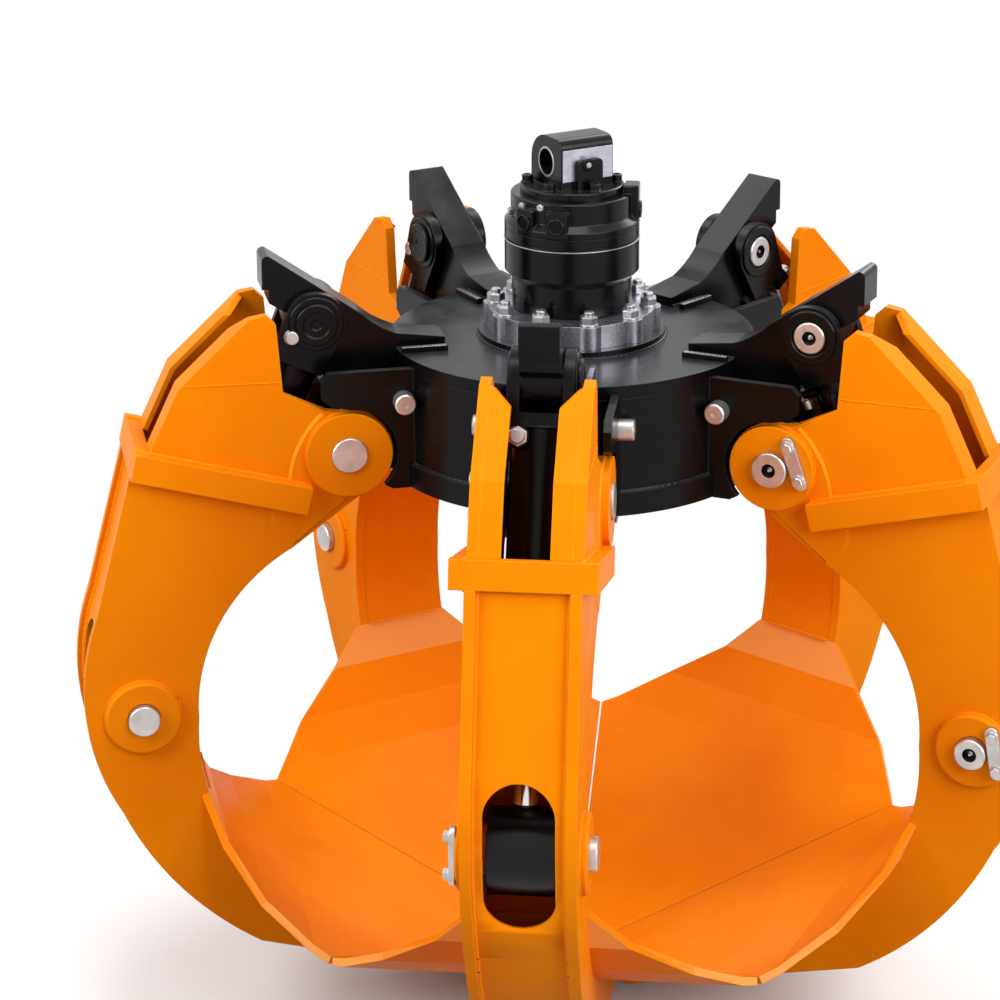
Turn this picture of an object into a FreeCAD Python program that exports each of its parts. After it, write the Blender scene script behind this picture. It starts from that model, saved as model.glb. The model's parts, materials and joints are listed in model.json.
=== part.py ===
import FreeCAD, Part
import math
import os

from FreeCAD import Vector

# Five-tine orange peel grapple, hanging closed from its suspension eye. Millimetres, Z up.
# The origin is the centre of the eye's bore, which runs along X.
# A tine is drawn in its own frame: X points out from the hub's axis, Y runs anticlockwise
# seen from above, and outline points are pairs (out, up).

# Tines
TINE_COUNT = 5
FIRST_TINE_ANGLE = -126.0

# Suspension eye and rotator, as heights below the eye's bore
EYE_BORE_R = 25.0
EYE_LENGTH = 112.0
EYE_R = 56.0
EYE_FOOT_SETBACK = 18.0
EYE_FOOT_THICKNESS = 16.0
HEAD_TOP = -62.0
HEAD_STEP = 12.0
HEAD_BOTTOM = -127.0
HEAD_RIM = 12.0
STATOR_GROOVE_DEPTH = 3.0
STATOR_GROOVE_WIDTH = 5.0
STATOR_GROOVE_TOP = -144.0
STATOR_STEP = -212.0
SEAL_HOUSING_STEP = 14.0
STATOR_BOTTOM = -283.0
FLANGE_GAP = 2.0
FLANGE_EDGE = 14.0
FLANGE_THICKNESS = 44.0
ADAPTER_EDGE = 9.0
ADAPTER_THICKNESS = 13.0
CAM_WALL = 36.0
ROTOR_GAP = 14.0
ROTOR_HEIGHT = 52.0
ROTOR_DROP = 12.0
SHAFT_R = 52.0
VANE_COUNT = 8
VANE_THICKNESS = 6.0
VANE_DEPTH = 22.0
HEAD_BOLT_COUNT = 6
HEAD_BOLT_FLATS = 22.0
HEAD_BOLT_HEIGHT = 12.0
HEAD_BOLT_ROOM = 1.3
HEAD_BOLT_EDGE = 14.0
LOCK_RIB = 14.0
LOCK_RIB_HALF_WIDTH = 24.0
LOCK_HOLE_R = 7.0
PORT_BLOCK_WIDTH = 46.0
PORT_BLOCK_RISE = 34.0
PORT_BLOCK_GAP = 2.0
PORT_COUNT = 3
PORT_PHASE = 30.0
PORT_FLATS = 32.0
PORT_STICKOUT = 9.0

# Bolts between the rotator's flange and the hub
FLANGE_BOLT_COUNT = 10
FLANGE_LOBE_R = 24.0
NUT_FLATS = 30.0
NUT_HEIGHT = 18.0
NUT_ROOM = 14.7

# Hub drum
HUB_R = 348.0
HUB_PLATE = 25.0
HUB_WALL = 20.0
HUB_HEIGHT = 248.0
HUB_RING_STEP = 8.0
HUB_RING_HEIGHT = 45.0
HUB_FLOOR = 20.0
MANIFOLD_R = 75.0
MANIFOLD_HEIGHT = 95.0
MANIFOLD_PORT_FLATS = 26.0
MANIFOLD_PORT_LENGTH = 22.0

# Pins: the pivot from the drum's wall and top, and the others from the pivot
PIVOT_FROM_HUB = 102.0
PIVOT_DROP = 177.0
PIVOT_PIN_R = 34.0
UPPER_PIN_AHEAD = 50.0
UPPER_PIN_RISE = 242.0
UPPER_PIN_R = 30.0
LOWER_PIN_AHEAD = 401.0
LOWER_PIN_DROP = 497.0
LOWER_PIN_R = 30.0
STOP_PIN_GAP = 0.6
STOP_PIN_RISE = 101.0
STOP_PIN_R = 20.0
STOP_PIN_STICKOUT = 30.0

# Hub brackets: the thick horn lug in the middle and a side plate each side of the tine
HORN_HALF_WIDTH = 36.0
HORN_EYE_R = 58.0
HORN_BOSS_R = 72.0
HORN_TIP_OUT = 96.0
HORN_TIP_UP = 127.0
HORN_NOSE_HEIGHT = 62.0
HORN_NOSE_STEP = 12.0
HORN_NOSE_FOOT = 26.0
HORN_ROOT_LENGTH = 95.0
HORN_ROOT_RISE = 18.0
HORN_RAMP_RISE = 12.0
HORN_RAMP_END = 4.0
HORN_SADDLE = (-118.0, -16.0)
HORN_SADDLE_END = (-86.0, 10.0)
HORN_TIP_CORNER = ((-14.0, 2.0), (-4.0, 0.0), (0.0, -9.0))
HORN_EYE_START_ANGLE = 20.0
HORN_EYE_END_ANGLE = -125.0
HORN_BOSS_END_ANGLE = -125.0
HORN_LOW_EDGE = 62.0
BRACKET_ROOT = 60.0
SIDE_PLATE = 15.0
SIDE_PLATE_GAP = 3.0
SIDE_PLATE_DROP = 15.0
SIDE_PLATE_REACH = 53.0
SIDE_PLATE_CORNER = 15.0
SIDE_PLATE_TAPER = 2.0
SIDE_PLATE_END_RISE = 21.0
SIDE_PLATE_NECK = (30.0, 6.0)
SIDE_PLATE_START_ANGLE = 90.0
SIDE_PLATE_END_ANGLE = 224.0
SIDE_PLATE_FOOT = 22.0
TOP_RIB_IN = 56.0
TOP_RIB = 12.0
TOP_RIB_HEIGHT = 10.0
TOP_RIB_SETBACK = 1.0

# Tine box: two cheeks with plates between them
CHEEK_OUTER = 100.0
CHEEK = 20.0
PIVOT_BOSS_R = 81.0
PIVOT_BOSS = 16.0
SLOT_HALF_WIDTH = 42.0
EAR_PLATE = 10.0
EAR_NOTCH_DROP = 31.0
BACK_PLATE = 12.0
BACK_INSET = 12.0
THROAT_PLATE = 8.0
THROAT_INSET = 1.0
ARCH_HALF_WIDTH = 62.5
ARCH_ABOVE_PIN = 109.0
ARCH_BELOW_PIN = 115.0
COLLAR_HALF_WIDTH = 127.0
COLLAR_BAR = 28.0

# Leaf: a folded plate that closes on its neighbours along the seams
LEAF_PLATE = 15.0
LEAF_TOP_OVERHANG = 2.0
SEAM_GAP = 3.0
LEAF_END_OUT = 14.0
SPINE_END_OUT = 160.0
SPINE_END_DEPTH = 48.3
NOSE_END_HALF_WIDTH = 6.5
NOSE_END_DEPTH = 16.0

# Tine cylinder, along its axis from the upper pin
BARREL_R = 55.0
BARREL_BORE_R = 45.0
BARREL_START = 90.0
BARREL_FLOOR = 15.0
ROD_SHOWN = 192.0
FORK_EAR = 20.0
FORK_GAP_HALF = 38.0
FORK_ROOT = 66.0
FORK_TAPER = 12.0
FORK_HALF_DEPTH = 50.0
FORK_EYE_R = 58.0
GLAND_PLUG = 18.0
GLAND_COLLAR = 30.0
PISTON_LENGTH = 60.0
PISTON_FROM_GLAND = 20.0
ROD_R = 25.0
ROD_EYE_R = 76.0
ROD_EYE_HALF_WIDTH = 59.5

# Keepers of the tine's two pins
KEEPER_THICKNESS = 10.0
KEEPER_LENGTH = 96.0
KEEPER_WIDTH = 26.0
PIVOT_KEEPER_LEAN = 20.0
LOWER_KEEPER_LEAN = 10.0
PIN_STICKOUT = 5.0

# Clearances
RUNNING = 0.05
SLIDING = 0.3
SIDE_RUNNING = 2.0
BOSS_CLEARANCE = 9.0
END_GAP = 2.0
KEEPER_GAP = 6.0
FLATNESS = 0.001
OPEN_PIVOT = 11.4

# Angles, and the reach of a cut that goes right through
FULL_TURN = 360.0
HALF_TURN = 180.0
THROUGH = 1000.0

# Derived sizes and places
EYE_REACH = max(EYE_R + LOCK_RIB, EYE_LENGTH / 2 / math.cos(math.radians(HALF_TURN / HEAD_BOLT_COUNT)))
HEAD_BOLT_CIRCLE_R = EYE_REACH + HEAD_BOLT_FLATS / math.sqrt(3) + HEAD_BOLT_ROOM
EYE_FOOT_R = HEAD_BOLT_CIRCLE_R + HEAD_BOLT_EDGE
HEAD_R = EYE_FOOT_R + EYE_FOOT_SETBACK
STATOR_R = HEAD_R + HEAD_STEP
SEAL_HOUSING_R = STATOR_R - SEAL_HOUSING_STEP
CAM_BORE_R = STATOR_R - CAM_WALL
ROTOR_R = CAM_BORE_R - ROTOR_GAP
FLANGE_BOLT_CIRCLE_R = SEAL_HOUSING_R + NUT_FLATS / math.sqrt(3) + NUT_ROOM
FLANGE_R = FLANGE_BOLT_CIRCLE_R + FLANGE_EDGE
ADAPTER_R = FLANGE_BOLT_CIRCLE_R + FLANGE_LOBE_R + ADAPTER_EDGE
HUB_RING_R = HUB_R + HUB_RING_STEP
HUB_TOP = STATOR_BOTTOM - FLANGE_GAP - FLANGE_THICKNESS - ADAPTER_THICKNESS
HUB_BOTTOM = HUB_TOP - HUB_HEIGHT
ROTOR_TOP = HEAD_BOTTOM - ROTOR_DROP
ROTOR_BOTTOM = ROTOR_TOP - ROTOR_HEIGHT
CHEEK_INNER = CHEEK_OUTER - CHEEK
SIDE_PLATE_INNER = CHEEK_OUTER + SIDE_PLATE_GAP
SIDE_PLATE_OUTER = SIDE_PLATE_INNER + SIDE_PLATE
HALF_WEDGE = math.radians(HALF_TURN / TINE_COUNT)
PIVOT_OUT = HUB_R + PIVOT_FROM_HUB
PIVOT_UP = HUB_TOP - PIVOT_DROP
UPPER_PIN_OUT = PIVOT_OUT + UPPER_PIN_AHEAD
UPPER_PIN_UP = PIVOT_UP + UPPER_PIN_RISE
LOWER_PIN_OUT = PIVOT_OUT + LOWER_PIN_AHEAD
LOWER_PIN_UP = PIVOT_UP - LOWER_PIN_DROP
STOP_PIN_OUT = math.sqrt(HUB_R ** 2 - SIDE_PLATE_OUTER ** 2) + STOP_PIN_R + STOP_PIN_GAP
STOP_PIN_UP = PIVOT_UP + STOP_PIN_RISE
CYLINDER_REST = math.hypot(LOWER_PIN_OUT - UPPER_PIN_OUT, UPPER_PIN_UP - LOWER_PIN_UP)
CYLINDER_TILT = math.degrees(math.atan2(UPPER_PIN_UP - LOWER_PIN_UP, LOWER_PIN_OUT - UPPER_PIN_OUT))
BARREL_END = CYLINDER_REST - ROD_EYE_R - ROD_SHOWN - GLAND_COLLAR

# The tine's upper outline, as (out, up) from the pivot pin
EAR_EDGE = ((179.0, 271.0), (314.0, 144.0))
EAR_TIP = (149.0, 276.0)
EAR_BACK = ((130.0, 258.0), (120.0, 123.0), (40.0, 84.0))
COLLAR_OUTER_TOP = (397.0, 33.0)
COLLAR_OUTER_LOW = (409.0, -18.0)
COLLAR_INNER_TOP = (71.0, -58.0)
THROAT_START = (109.0, -180.0)
BOSS_TOP_ANGLE = 80.0

# The tine's lower outline, as (out, up) from the lower cylinder pin
BACK_STRAIGHT_END = (80.0, 201.0)
BACK_BULGE = (108.0, 66.0)
BACK_BULGE_END = (46.0, -194.0)
SPINE_CURVE = (-51.0, -353.0)
SPINE_CURVE_END = (-211.0, -493.0)
THROAT_CURVE_END = (-105.0, -13.0)
THROAT_LOWER_CURVE = (-105.0, -93.0)
LEAF_FOLDS = ((-118.0, -169.0), (-147.0, -243.0), (-202.0, -315.0), (-280.0, -374.0))

# The throat passes beside the barrel, this far from the lower pin along the cylinder
THROAT_FROM_LOWER = 259.6
THROAT_BARREL_GAP = 8.8

# The leaf's edges at its folds, inside the seam, and its widest corner beyond the last fold
LEAF_SETBACKS = (334.6, 186.7, 44.0)
LEAF_CORNER_BACK = 26.0
LEAF_SLOPE = 0.4676


def point(pair, y=0.0):
    return Vector(pair[0], y, pair[1])


def shift(pair, out, up):
    return (pair[0] + out, pair[1] + up)


def from_pivot(pair):
    return shift(pair, PIVOT_OUT, PIVOT_UP)


def from_lower(pair):
    return shift(pair, LOWER_PIN_OUT, LOWER_PIN_UP)


def path(start, *steps):
    """A wire in the XZ plane; a step is the next point, or (via, end) for an arc."""
    edges = []
    here = start
    for step in steps:
        if isinstance(step[0], tuple):
            via, end = step
            edges.append(Part.Arc(point(here), point(via), point(end)).toShape())
        else:
            end = step
            edges.append(Part.LineSegment(point(here), point(end)).toShape())
        here = end
    return Part.Wire(edges)


def slab(outline, y_low, y_high):
    face = Part.Face(outline)
    face.translate(Vector(0, y_low, 0))
    return face.extrude(Vector(0, y_high - y_low, 0))


def both_sides(solid):
    return [solid, solid.mirror(Vector(0, 0, 0), Vector(0, 1, 0))]


def offset_point(before, here, after, distance):
    """The mitred offset of a corner, to the right of the way from before to after."""
    def unit(a, b):
        length = math.hypot(b[0] - a[0], b[1] - a[1])
        return ((b[0] - a[0]) / length, (b[1] - a[1]) / length)

    u = unit(before, here)
    v = unit(here, after)
    normal = (u[1] + v[1], -(u[0] + v[0]))
    size = math.hypot(*normal)
    normal = (normal[0] / size, normal[1] / size)
    reach = distance / (normal[0] * u[1] - normal[1] * u[0])
    return (here[0] + normal[0] * reach, here[1] + normal[1] * reach)


def plate_along(wire, inset, thickness, y_low, y_high):
    """A plate that follows an open wire, set in to its right by inset."""
    edge = wire.makeOffset2D(-inset, 0, False, True) if inset else wire
    face = edge.makeOffset2D(-thickness, 0, True, True)
    face.translate(Vector(0, y_low, 0))
    return face.extrude(Vector(0, y_high - y_low, 0))


def pin(radius, centre, y_low, y_high):
    return Part.makeCylinder(radius, y_high - y_low, point(centre, y_low), Vector(0, 1, 0))


def upright(radius, z_low, z_high, x=0.0, y=0.0):
    return Part.makeCylinder(radius, z_high - z_low, Vector(x, y, z_low))


def ring(outer, inner, z_low, z_high):
    return upright(outer, z_low, z_high).cut(upright(inner, z_low, z_high))


def lathe(*profile):
    """A solid turned about Z from (radius, height) pairs."""
    corners = [point(pair) for pair in profile]
    face = Part.Face(Part.makePolygon(corners + corners[:1]))
    return face.revolve(Vector(0, 0, 0), Vector(0, 0, 1), FULL_TURN)


def box(low, high):
    return Part.makeBox(high[0] - low[0], high[1] - low[1], high[2] - low[2], Vector(*low))


def hexagon(flats, height, base):
    corner = flats / math.sqrt(3)
    corners = []
    for side in range(6):
        angle = math.radians(FULL_TURN * side / 6)
        corners.append(base + Vector(corner * math.cos(angle), corner * math.sin(angle), 0))
    return Part.Face(Part.makePolygon(corners + corners[:1])).extrude(Vector(0, 0, height))


def hexagon_out(flats, start, end, height):
    """A hexagonal stub that points out along X."""
    stub = hexagon(flats, end - start, Vector(0, 0, 0))
    stub.rotate(Vector(0, 0, 0), Vector(0, 1, 0), 90)
    stub.translate(Vector(start, 0, height))
    return stub


def skin(sections):
    """A solid with flat faces through sections that have the same number of corners."""
    faces = [Part.Face(Part.makePolygon(list(end) + [end[0]])) for end in (sections[0], sections[-1])]
    count = len(sections[0])
    for near, far in zip(sections[:-1], sections[1:]):
        for i in range(count):
            quad = [near[i], near[(i + 1) % count], far[(i + 1) % count], far[i]]
            normal = (quad[1] - quad[0]).cross(quad[2] - quad[0]).normalize()
            if abs(normal.dot(quad[3] - quad[0])) < FLATNESS:
                faces.append(Part.Face(Part.makePolygon(quad + quad[:1])))
            else:
                faces.append(Part.Face(Part.makePolygon(quad[:3] + quad[:1])))
                faces.append(Part.Face(Part.makePolygon([quad[0], quad[2], quad[3], quad[0]])))
    solid = Part.Solid(Part.Shell(faces))
    if solid.Volume < 0:
        solid.reverse()
    return solid


def turned(solid, angle):
    copy = solid.copy()
    copy.rotate(Vector(0, 0, 0), Vector(0, 0, 1), angle)
    return copy


def around(solid, count, phase=0.0):
    return [turned(solid, phase + FULL_TURN * step / count) for step in range(count)]


def tine_angle(number):
    return FIRST_TINE_ANGLE + FULL_TURN * (number - 1) / TINE_COUNT


def save(name, solids):
    shape = solids[0] if len(solids) == 1 else Part.makeCompound(solids)
    shape.exportStep("parts/" + name + ".step")


def suspension_eye():
    half = EYE_LENGTH / 2
    outline = path((-EYE_R, HEAD_TOP), (-EYE_R, 0.0), ((0.0, EYE_R), (EYE_R, 0.0)),
                   (EYE_R, HEAD_TOP), (-EYE_R, HEAD_TOP))
    block = slab(outline, -half, half)
    block.rotate(Vector(0, 0, 0), Vector(0, 0, 1), 90)
    rib = LOCK_RIB_HALF_WIDTH
    lock_rib = slab(path((-rib, HEAD_TOP), (-rib, 0.0), ((0.0, rib), (rib, 0.0)),
                         (rib, HEAD_TOP), (-rib, HEAD_TOP)), -EYE_R - LOCK_RIB, 0.0)
    foot = upright(EYE_FOOT_R, HEAD_TOP, HEAD_TOP + EYE_FOOT_THICKNESS)
    bore = Part.makeCylinder(EYE_BORE_R, EYE_LENGTH, Vector(-half, 0, 0), Vector(1, 0, 0))
    lock_hole = pin(LOCK_HOLE_R, (0.0, 0.0), -EYE_R - LOCK_RIB, 0.0)
    return block.fuse([lock_rib, foot]).cut([bore, lock_hole]).removeSplitter()


def head_bolts():
    seat = HEAD_TOP + EYE_FOOT_THICKNESS
    head = hexagon(HEAD_BOLT_FLATS, HEAD_BOLT_HEIGHT, Vector(HEAD_BOLT_CIRCLE_R, 0, seat))
    return around(head, HEAD_BOLT_COUNT, HALF_TURN / HEAD_BOLT_COUNT)


def port_angle(index):
    return PORT_PHASE + FULL_TURN * index / PORT_COUNT


def rotator_head():
    body = lathe((0.0, HEAD_BOTTOM), (STATOR_R, HEAD_BOTTOM), (STATOR_R, HEAD_BOTTOM + HEAD_RIM),
                 (HEAD_R, HEAD_BOTTOM + HEAD_RIM + STATOR_R - HEAD_R), (HEAD_R, HEAD_TOP), (0.0, HEAD_TOP))
    half = PORT_BLOCK_WIDTH / 2
    block = box((EYE_FOOT_R + PORT_BLOCK_GAP, -half, HEAD_BOTTOM + HEAD_RIM),
                (STATOR_R, half, HEAD_TOP + PORT_BLOCK_RISE))
    return body.fuse([turned(block, port_angle(index)) for index in range(PORT_COUNT)]).removeSplitter()


def port_fittings():
    stub = hexagon_out(PORT_FLATS, STATOR_R, STATOR_R + PORT_STICKOUT, HEAD_TOP)
    return [turned(stub, port_angle(index)) for index in range(PORT_COUNT)]


def rotator_stator():
    groove_low = STATOR_GROOVE_TOP - STATOR_GROOVE_WIDTH
    groove_r = STATOR_R - STATOR_GROOVE_DEPTH
    shaft_hole = SHAFT_R + SLIDING
    cam_low = ROTOR_BOTTOM - END_GAP
    return lathe((STATOR_R, HEAD_BOTTOM), (STATOR_R, STATOR_GROOVE_TOP), (groove_r, STATOR_GROOVE_TOP),
                 (groove_r, groove_low), (STATOR_R, groove_low), (STATOR_R, STATOR_STEP),
                 (SEAL_HOUSING_R, STATOR_STEP - STATOR_R + SEAL_HOUSING_R), (SEAL_HOUSING_R, STATOR_BOTTOM),
                 (shaft_hole, STATOR_BOTTOM), (shaft_hole, cam_low), (CAM_BORE_R, cam_low),
                 (CAM_BORE_R, HEAD_BOTTOM))


def flange_bolt_phase():
    return FIRST_TINE_ANGLE + HALF_TURN / FLANGE_BOLT_COUNT


def rotor_shaft():
    flange_top = STATOR_BOTTOM - FLANGE_GAP
    flange_low = flange_top - FLANGE_THICKNESS
    body = lathe((0.0, flange_low), (FLANGE_R, flange_low), (FLANGE_R, flange_top), (SHAFT_R, flange_top),
                 (SHAFT_R, ROTOR_BOTTOM), (ROTOR_R, ROTOR_BOTTOM), (ROTOR_R, ROTOR_TOP), (0.0, ROTOR_TOP))
    lobe = upright(FLANGE_LOBE_R, flange_low, flange_top, FLANGE_BOLT_CIRCLE_R)
    slot = box((ROTOR_R - VANE_DEPTH, -VANE_THICKNESS / 2, ROTOR_BOTTOM),
               (CAM_BORE_R, VANE_THICKNESS / 2, ROTOR_TOP))
    body = body.fuse(around(lobe, FLANGE_BOLT_COUNT, flange_bolt_phase()))
    return body.cut(around(slot, VANE_COUNT)).removeSplitter()


def rotor_vanes():
    vane = box((ROTOR_R - VANE_DEPTH, -VANE_THICKNESS / 2, ROTOR_BOTTOM),
               (CAM_BORE_R - 2 * SLIDING, VANE_THICKNESS / 2, ROTOR_TOP))
    return around(vane, VANE_COUNT)


def adapter_ring():
    return upright(ADAPTER_R, HUB_TOP, HUB_TOP + ADAPTER_THICKNESS)


def flange_nuts():
    nut = hexagon(NUT_FLATS, NUT_HEIGHT, Vector(FLANGE_BOLT_CIRCLE_R, 0, STATOR_BOTTOM - FLANGE_GAP))
    return around(nut, FLANGE_BOLT_COUNT, flange_bolt_phase())


def hub_top_plate():
    return upright(HUB_R, HUB_TOP - HUB_PLATE, HUB_TOP)


def hub_shell():
    return ring(HUB_R, HUB_R - HUB_WALL, HUB_BOTTOM + HUB_RING_HEIGHT, HUB_TOP - HUB_PLATE)


def hub_bottom_plate():
    rim_top = HUB_BOTTOM + HUB_RING_HEIGHT
    inner = HUB_R - HUB_WALL
    return lathe((0.0, HUB_BOTTOM), (HUB_RING_R, HUB_BOTTOM), (HUB_RING_R, rim_top), (inner, rim_top),
                 (inner, HUB_BOTTOM + HUB_FLOOR), (0.0, HUB_BOTTOM + HUB_FLOOR))


def oil_manifold():
    top = HUB_TOP - HUB_PLATE
    body = upright(MANIFOLD_R, top - MANIFOLD_HEIGHT, top)
    stub = hexagon_out(MANIFOLD_PORT_FLATS, 0.0, MANIFOLD_R + MANIFOLD_PORT_LENGTH, top - MANIFOLD_HEIGHT / 2)
    return body.fuse(around(stub, TINE_COUNT, FIRST_TINE_ANGLE))


def hub_envelope():
    drum = upright(HUB_R, HUB_BOTTOM, HUB_TOP)
    return drum.fuse(upright(HUB_RING_R, HUB_BOTTOM, HUB_BOTTOM + HUB_RING_HEIGHT))


def on_circle(centre, radius, degrees):
    angle = math.radians(degrees)
    return (centre[0] + radius * math.cos(angle), centre[1] + radius * math.sin(angle))


def tangent_angle(start, centre, radius, side):
    """Where on the circle the tangent from start touches, in degrees."""
    away = math.degrees(math.atan2(start[1] - centre[1], start[0] - centre[0]))
    distance = math.hypot(start[0] - centre[0], start[1] - centre[1])
    return away + side * math.degrees(math.acos(radius / distance))


UPPER = (UPPER_PIN_OUT, UPPER_PIN_UP)
PIVOT = (PIVOT_OUT, PIVOT_UP)
LOWER = (LOWER_PIN_OUT, LOWER_PIN_UP)
STOP = (STOP_PIN_OUT, STOP_PIN_UP)


def bracket_lug():
    root = HUB_R - HORN_ROOT_LENGTH
    tip = shift(UPPER, HORN_TIP_OUT, HORN_TIP_UP)
    inside = HUB_R - BRACKET_ROOT
    eye_middle = (HORN_EYE_START_ANGLE + HORN_EYE_END_ANGLE) / 2
    waist = on_circle(UPPER, HORN_EYE_R, HORN_EYE_END_ANGLE)
    touch = tangent_angle(waist, PIVOT, HORN_BOSS_R, -1)
    boss_middle = (touch + HORN_BOSS_END_ANGLE) / 2
    crest, corner, corner_end = [shift(tip, *pair) for pair in HORN_TIP_CORNER]
    outline = path(
        (root, HUB_TOP), (root, HUB_TOP + HORN_ROOT_RISE),
        (HUB_R - HORN_RAMP_END, HUB_TOP + HORN_ROOT_RISE + HORN_RAMP_RISE),
        (shift(UPPER, *HORN_SADDLE), shift(UPPER, *HORN_SADDLE_END)), crest, (corner, corner_end),
        shift(tip, 0.0, -HORN_NOSE_HEIGHT), shift(tip, -HORN_NOSE_STEP, -HORN_NOSE_HEIGHT),
        shift(tip, -HORN_NOSE_STEP, -HORN_NOSE_HEIGHT - HORN_NOSE_FOOT),
        on_circle(UPPER, HORN_EYE_R, HORN_EYE_START_ANGLE),
        (on_circle(UPPER, HORN_EYE_R, eye_middle), waist), on_circle(PIVOT, HORN_BOSS_R, touch),
        (on_circle(PIVOT, HORN_BOSS_R, boss_middle), on_circle(PIVOT, HORN_BOSS_R, HORN_BOSS_END_ANGLE)),
        (inside, PIVOT_UP - HORN_LOW_EDGE), (inside, HUB_TOP), (root, HUB_TOP))
    lug = slab(outline, -HORN_HALF_WIDTH, HORN_HALF_WIDTH)
    boss = pin(HORN_BOSS_R, PIVOT, -CHEEK_INNER + SIDE_RUNNING, CHEEK_INNER - SIDE_RUNNING)
    rib_outer = TOP_RIB_IN + TOP_RIB
    rib_end = math.sqrt(HUB_R ** 2 - rib_outer ** 2) - TOP_RIB_SETBACK
    ribs = both_sides(box((root, TOP_RIB_IN, HUB_TOP), (rib_end, rib_outer, HUB_TOP + TOP_RIB_HEIGHT)))
    body = lug.fuse(boss).cut(hub_envelope())
    body = body.cut([pin(UPPER_PIN_R, UPPER, -HORN_HALF_WIDTH, HORN_HALF_WIDTH),
                     pin(PIVOT_PIN_R + RUNNING, PIVOT, -CHEEK_OUTER, CHEEK_OUTER)])
    return [body] + ribs


def bracket_side():
    top = HUB_TOP - SIDE_PLATE_DROP
    end = PIVOT_OUT + SIDE_PLATE_REACH
    cut_r = PIVOT_BOSS_R + BOSS_CLEARANCE
    cut_top = PIVOT_UP + cut_r
    inside = HUB_R - BRACKET_ROOT
    corner = SIDE_PLATE_CORNER
    arc_middle = (SIDE_PLATE_START_ANGLE + SIDE_PLATE_END_ANGLE) / 2
    outline = path(
        (inside, top), (end - corner, top), (end, top - corner),
        (end - SIDE_PLATE_TAPER, cut_top + SIDE_PLATE_END_RISE), shift((PIVOT_OUT, cut_top), *SIDE_PLATE_NECK),
        on_circle(PIVOT, cut_r, SIDE_PLATE_START_ANGLE),
        (on_circle(PIVOT, cut_r, arc_middle), on_circle(PIVOT, cut_r, SIDE_PLATE_END_ANGLE)),
        (HUB_R + SIDE_PLATE_FOOT, HUB_BOTTOM), (inside, HUB_BOTTOM), (inside, top))
    return slab(outline, SIDE_PLATE_INNER, SIDE_PLATE_OUTER).cut(hub_envelope())


def upper_pin():
    end = FORK_GAP_HALF + FORK_EAR + PIN_STICKOUT
    return pin(UPPER_PIN_R, UPPER, -end, end)


def stop_pin():
    return pin(STOP_PIN_R, STOP, SIDE_PLATE_OUTER, SIDE_PLATE_OUTER + STOP_PIN_STICKOUT)


def leaf_profile():
    """The leaf's upper face in section: the folds, the widest corner and the end."""
    folds = [from_lower(fold) for fold in LEAF_FOLDS]
    main = folds[-1]
    corner = shift(main, -LEAF_CORNER_BACK, -LEAF_SLOPE * LEAF_CORNER_BACK)
    end = (LEAF_END_OUT, main[1] - LEAF_SLOPE * (main[0] - LEAF_END_OUT))
    return folds + [corner, end]


def leaf_underside():
    profile = leaf_profile()
    first = shift(profile[0], profile[0][0] - profile[1][0], profile[0][1] - profile[1][1])
    last = shift(profile[-1], profile[-1][0] - profile[-2][0], profile[-1][1] - profile[-2][1])
    padded = [first] + profile + [last]
    return [offset_point(padded[i - 1], padded[i], padded[i + 1], -LEAF_PLATE)
            for i in range(1, len(padded) - 1)]


def underside_at(out):
    """Height of the leaf's flat underside."""
    end = leaf_underside()[-1]
    return end[1] + LEAF_SLOPE * (out - end[0])


def seam_half_width(out):
    return out * math.tan(HALF_WEDGE) - SEAM_GAP / 2 / math.cos(HALF_WEDGE)


def leaf():
    profile = leaf_profile()
    under = leaf_underside()
    setbacks = LEAF_SETBACKS + (0.0, 0.0)
    widths = [CHEEK_OUTER + LEAF_TOP_OVERHANG]
    widths += [seam_half_width(spot[0]) - setback for spot, setback in zip(profile[1:], setbacks)]
    sections = []
    for top, low, width in zip(profile, under, widths):
        sections.append([point(top, -width), point(top, width), point(low, width), point(low, -width)])
    return skin(sections)


def back_path():
    """The tine's outer edge below the collar."""
    start = from_pivot(COLLAR_OUTER_LOW)
    bulge_end = from_lower(BACK_BULGE_END)
    curve_end = from_lower(SPINE_CURVE_END)
    spine_end = (SPINE_END_OUT, underside_at(SPINE_END_OUT) - SPINE_END_DEPTH)
    return [start, from_lower(BACK_STRAIGHT_END), (from_lower(BACK_BULGE), bulge_end),
            (from_lower(SPINE_CURVE), curve_end), spine_end]


def beside_barrel(before_lower, gap):
    """A place on the hub's side of the barrel, measured back along the cylinder from the lower pin."""
    tilt = math.radians(CYLINDER_TILT)
    aside = BARREL_R + gap
    return (LOWER_PIN_OUT - before_lower * math.cos(tilt) - aside * math.sin(tilt),
            LOWER_PIN_UP + before_lower * math.sin(tilt) - aside * math.cos(tilt))


def throat_path():
    """The tine's inner edge, from beside the pivot boss down to the leaf's first fold."""
    start = from_pivot(THROAT_START)
    return [start, (beside_barrel(THROAT_FROM_LOWER, THROAT_BARREL_GAP), from_lower(THROAT_CURVE_END)),
            (from_lower(THROAT_LOWER_CURVE), from_lower(LEAF_FOLDS[0]))]


def collar_inner_face():
    """Top and bottom of the collar bar's inner face, where the cheek's edge steps out."""
    top = from_pivot(COLLAR_OUTER_TOP)
    low = from_pivot(COLLAR_OUTER_LOW)
    height = math.hypot(low[0] - top[0], low[1] - top[1])
    inward = ((low[1] - top[1]) / height, -(low[0] - top[0]) / height)
    step = (inward[0] * COLLAR_BAR, inward[1] * COLLAR_BAR)
    return shift(top, *step), shift(low, *step)


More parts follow.
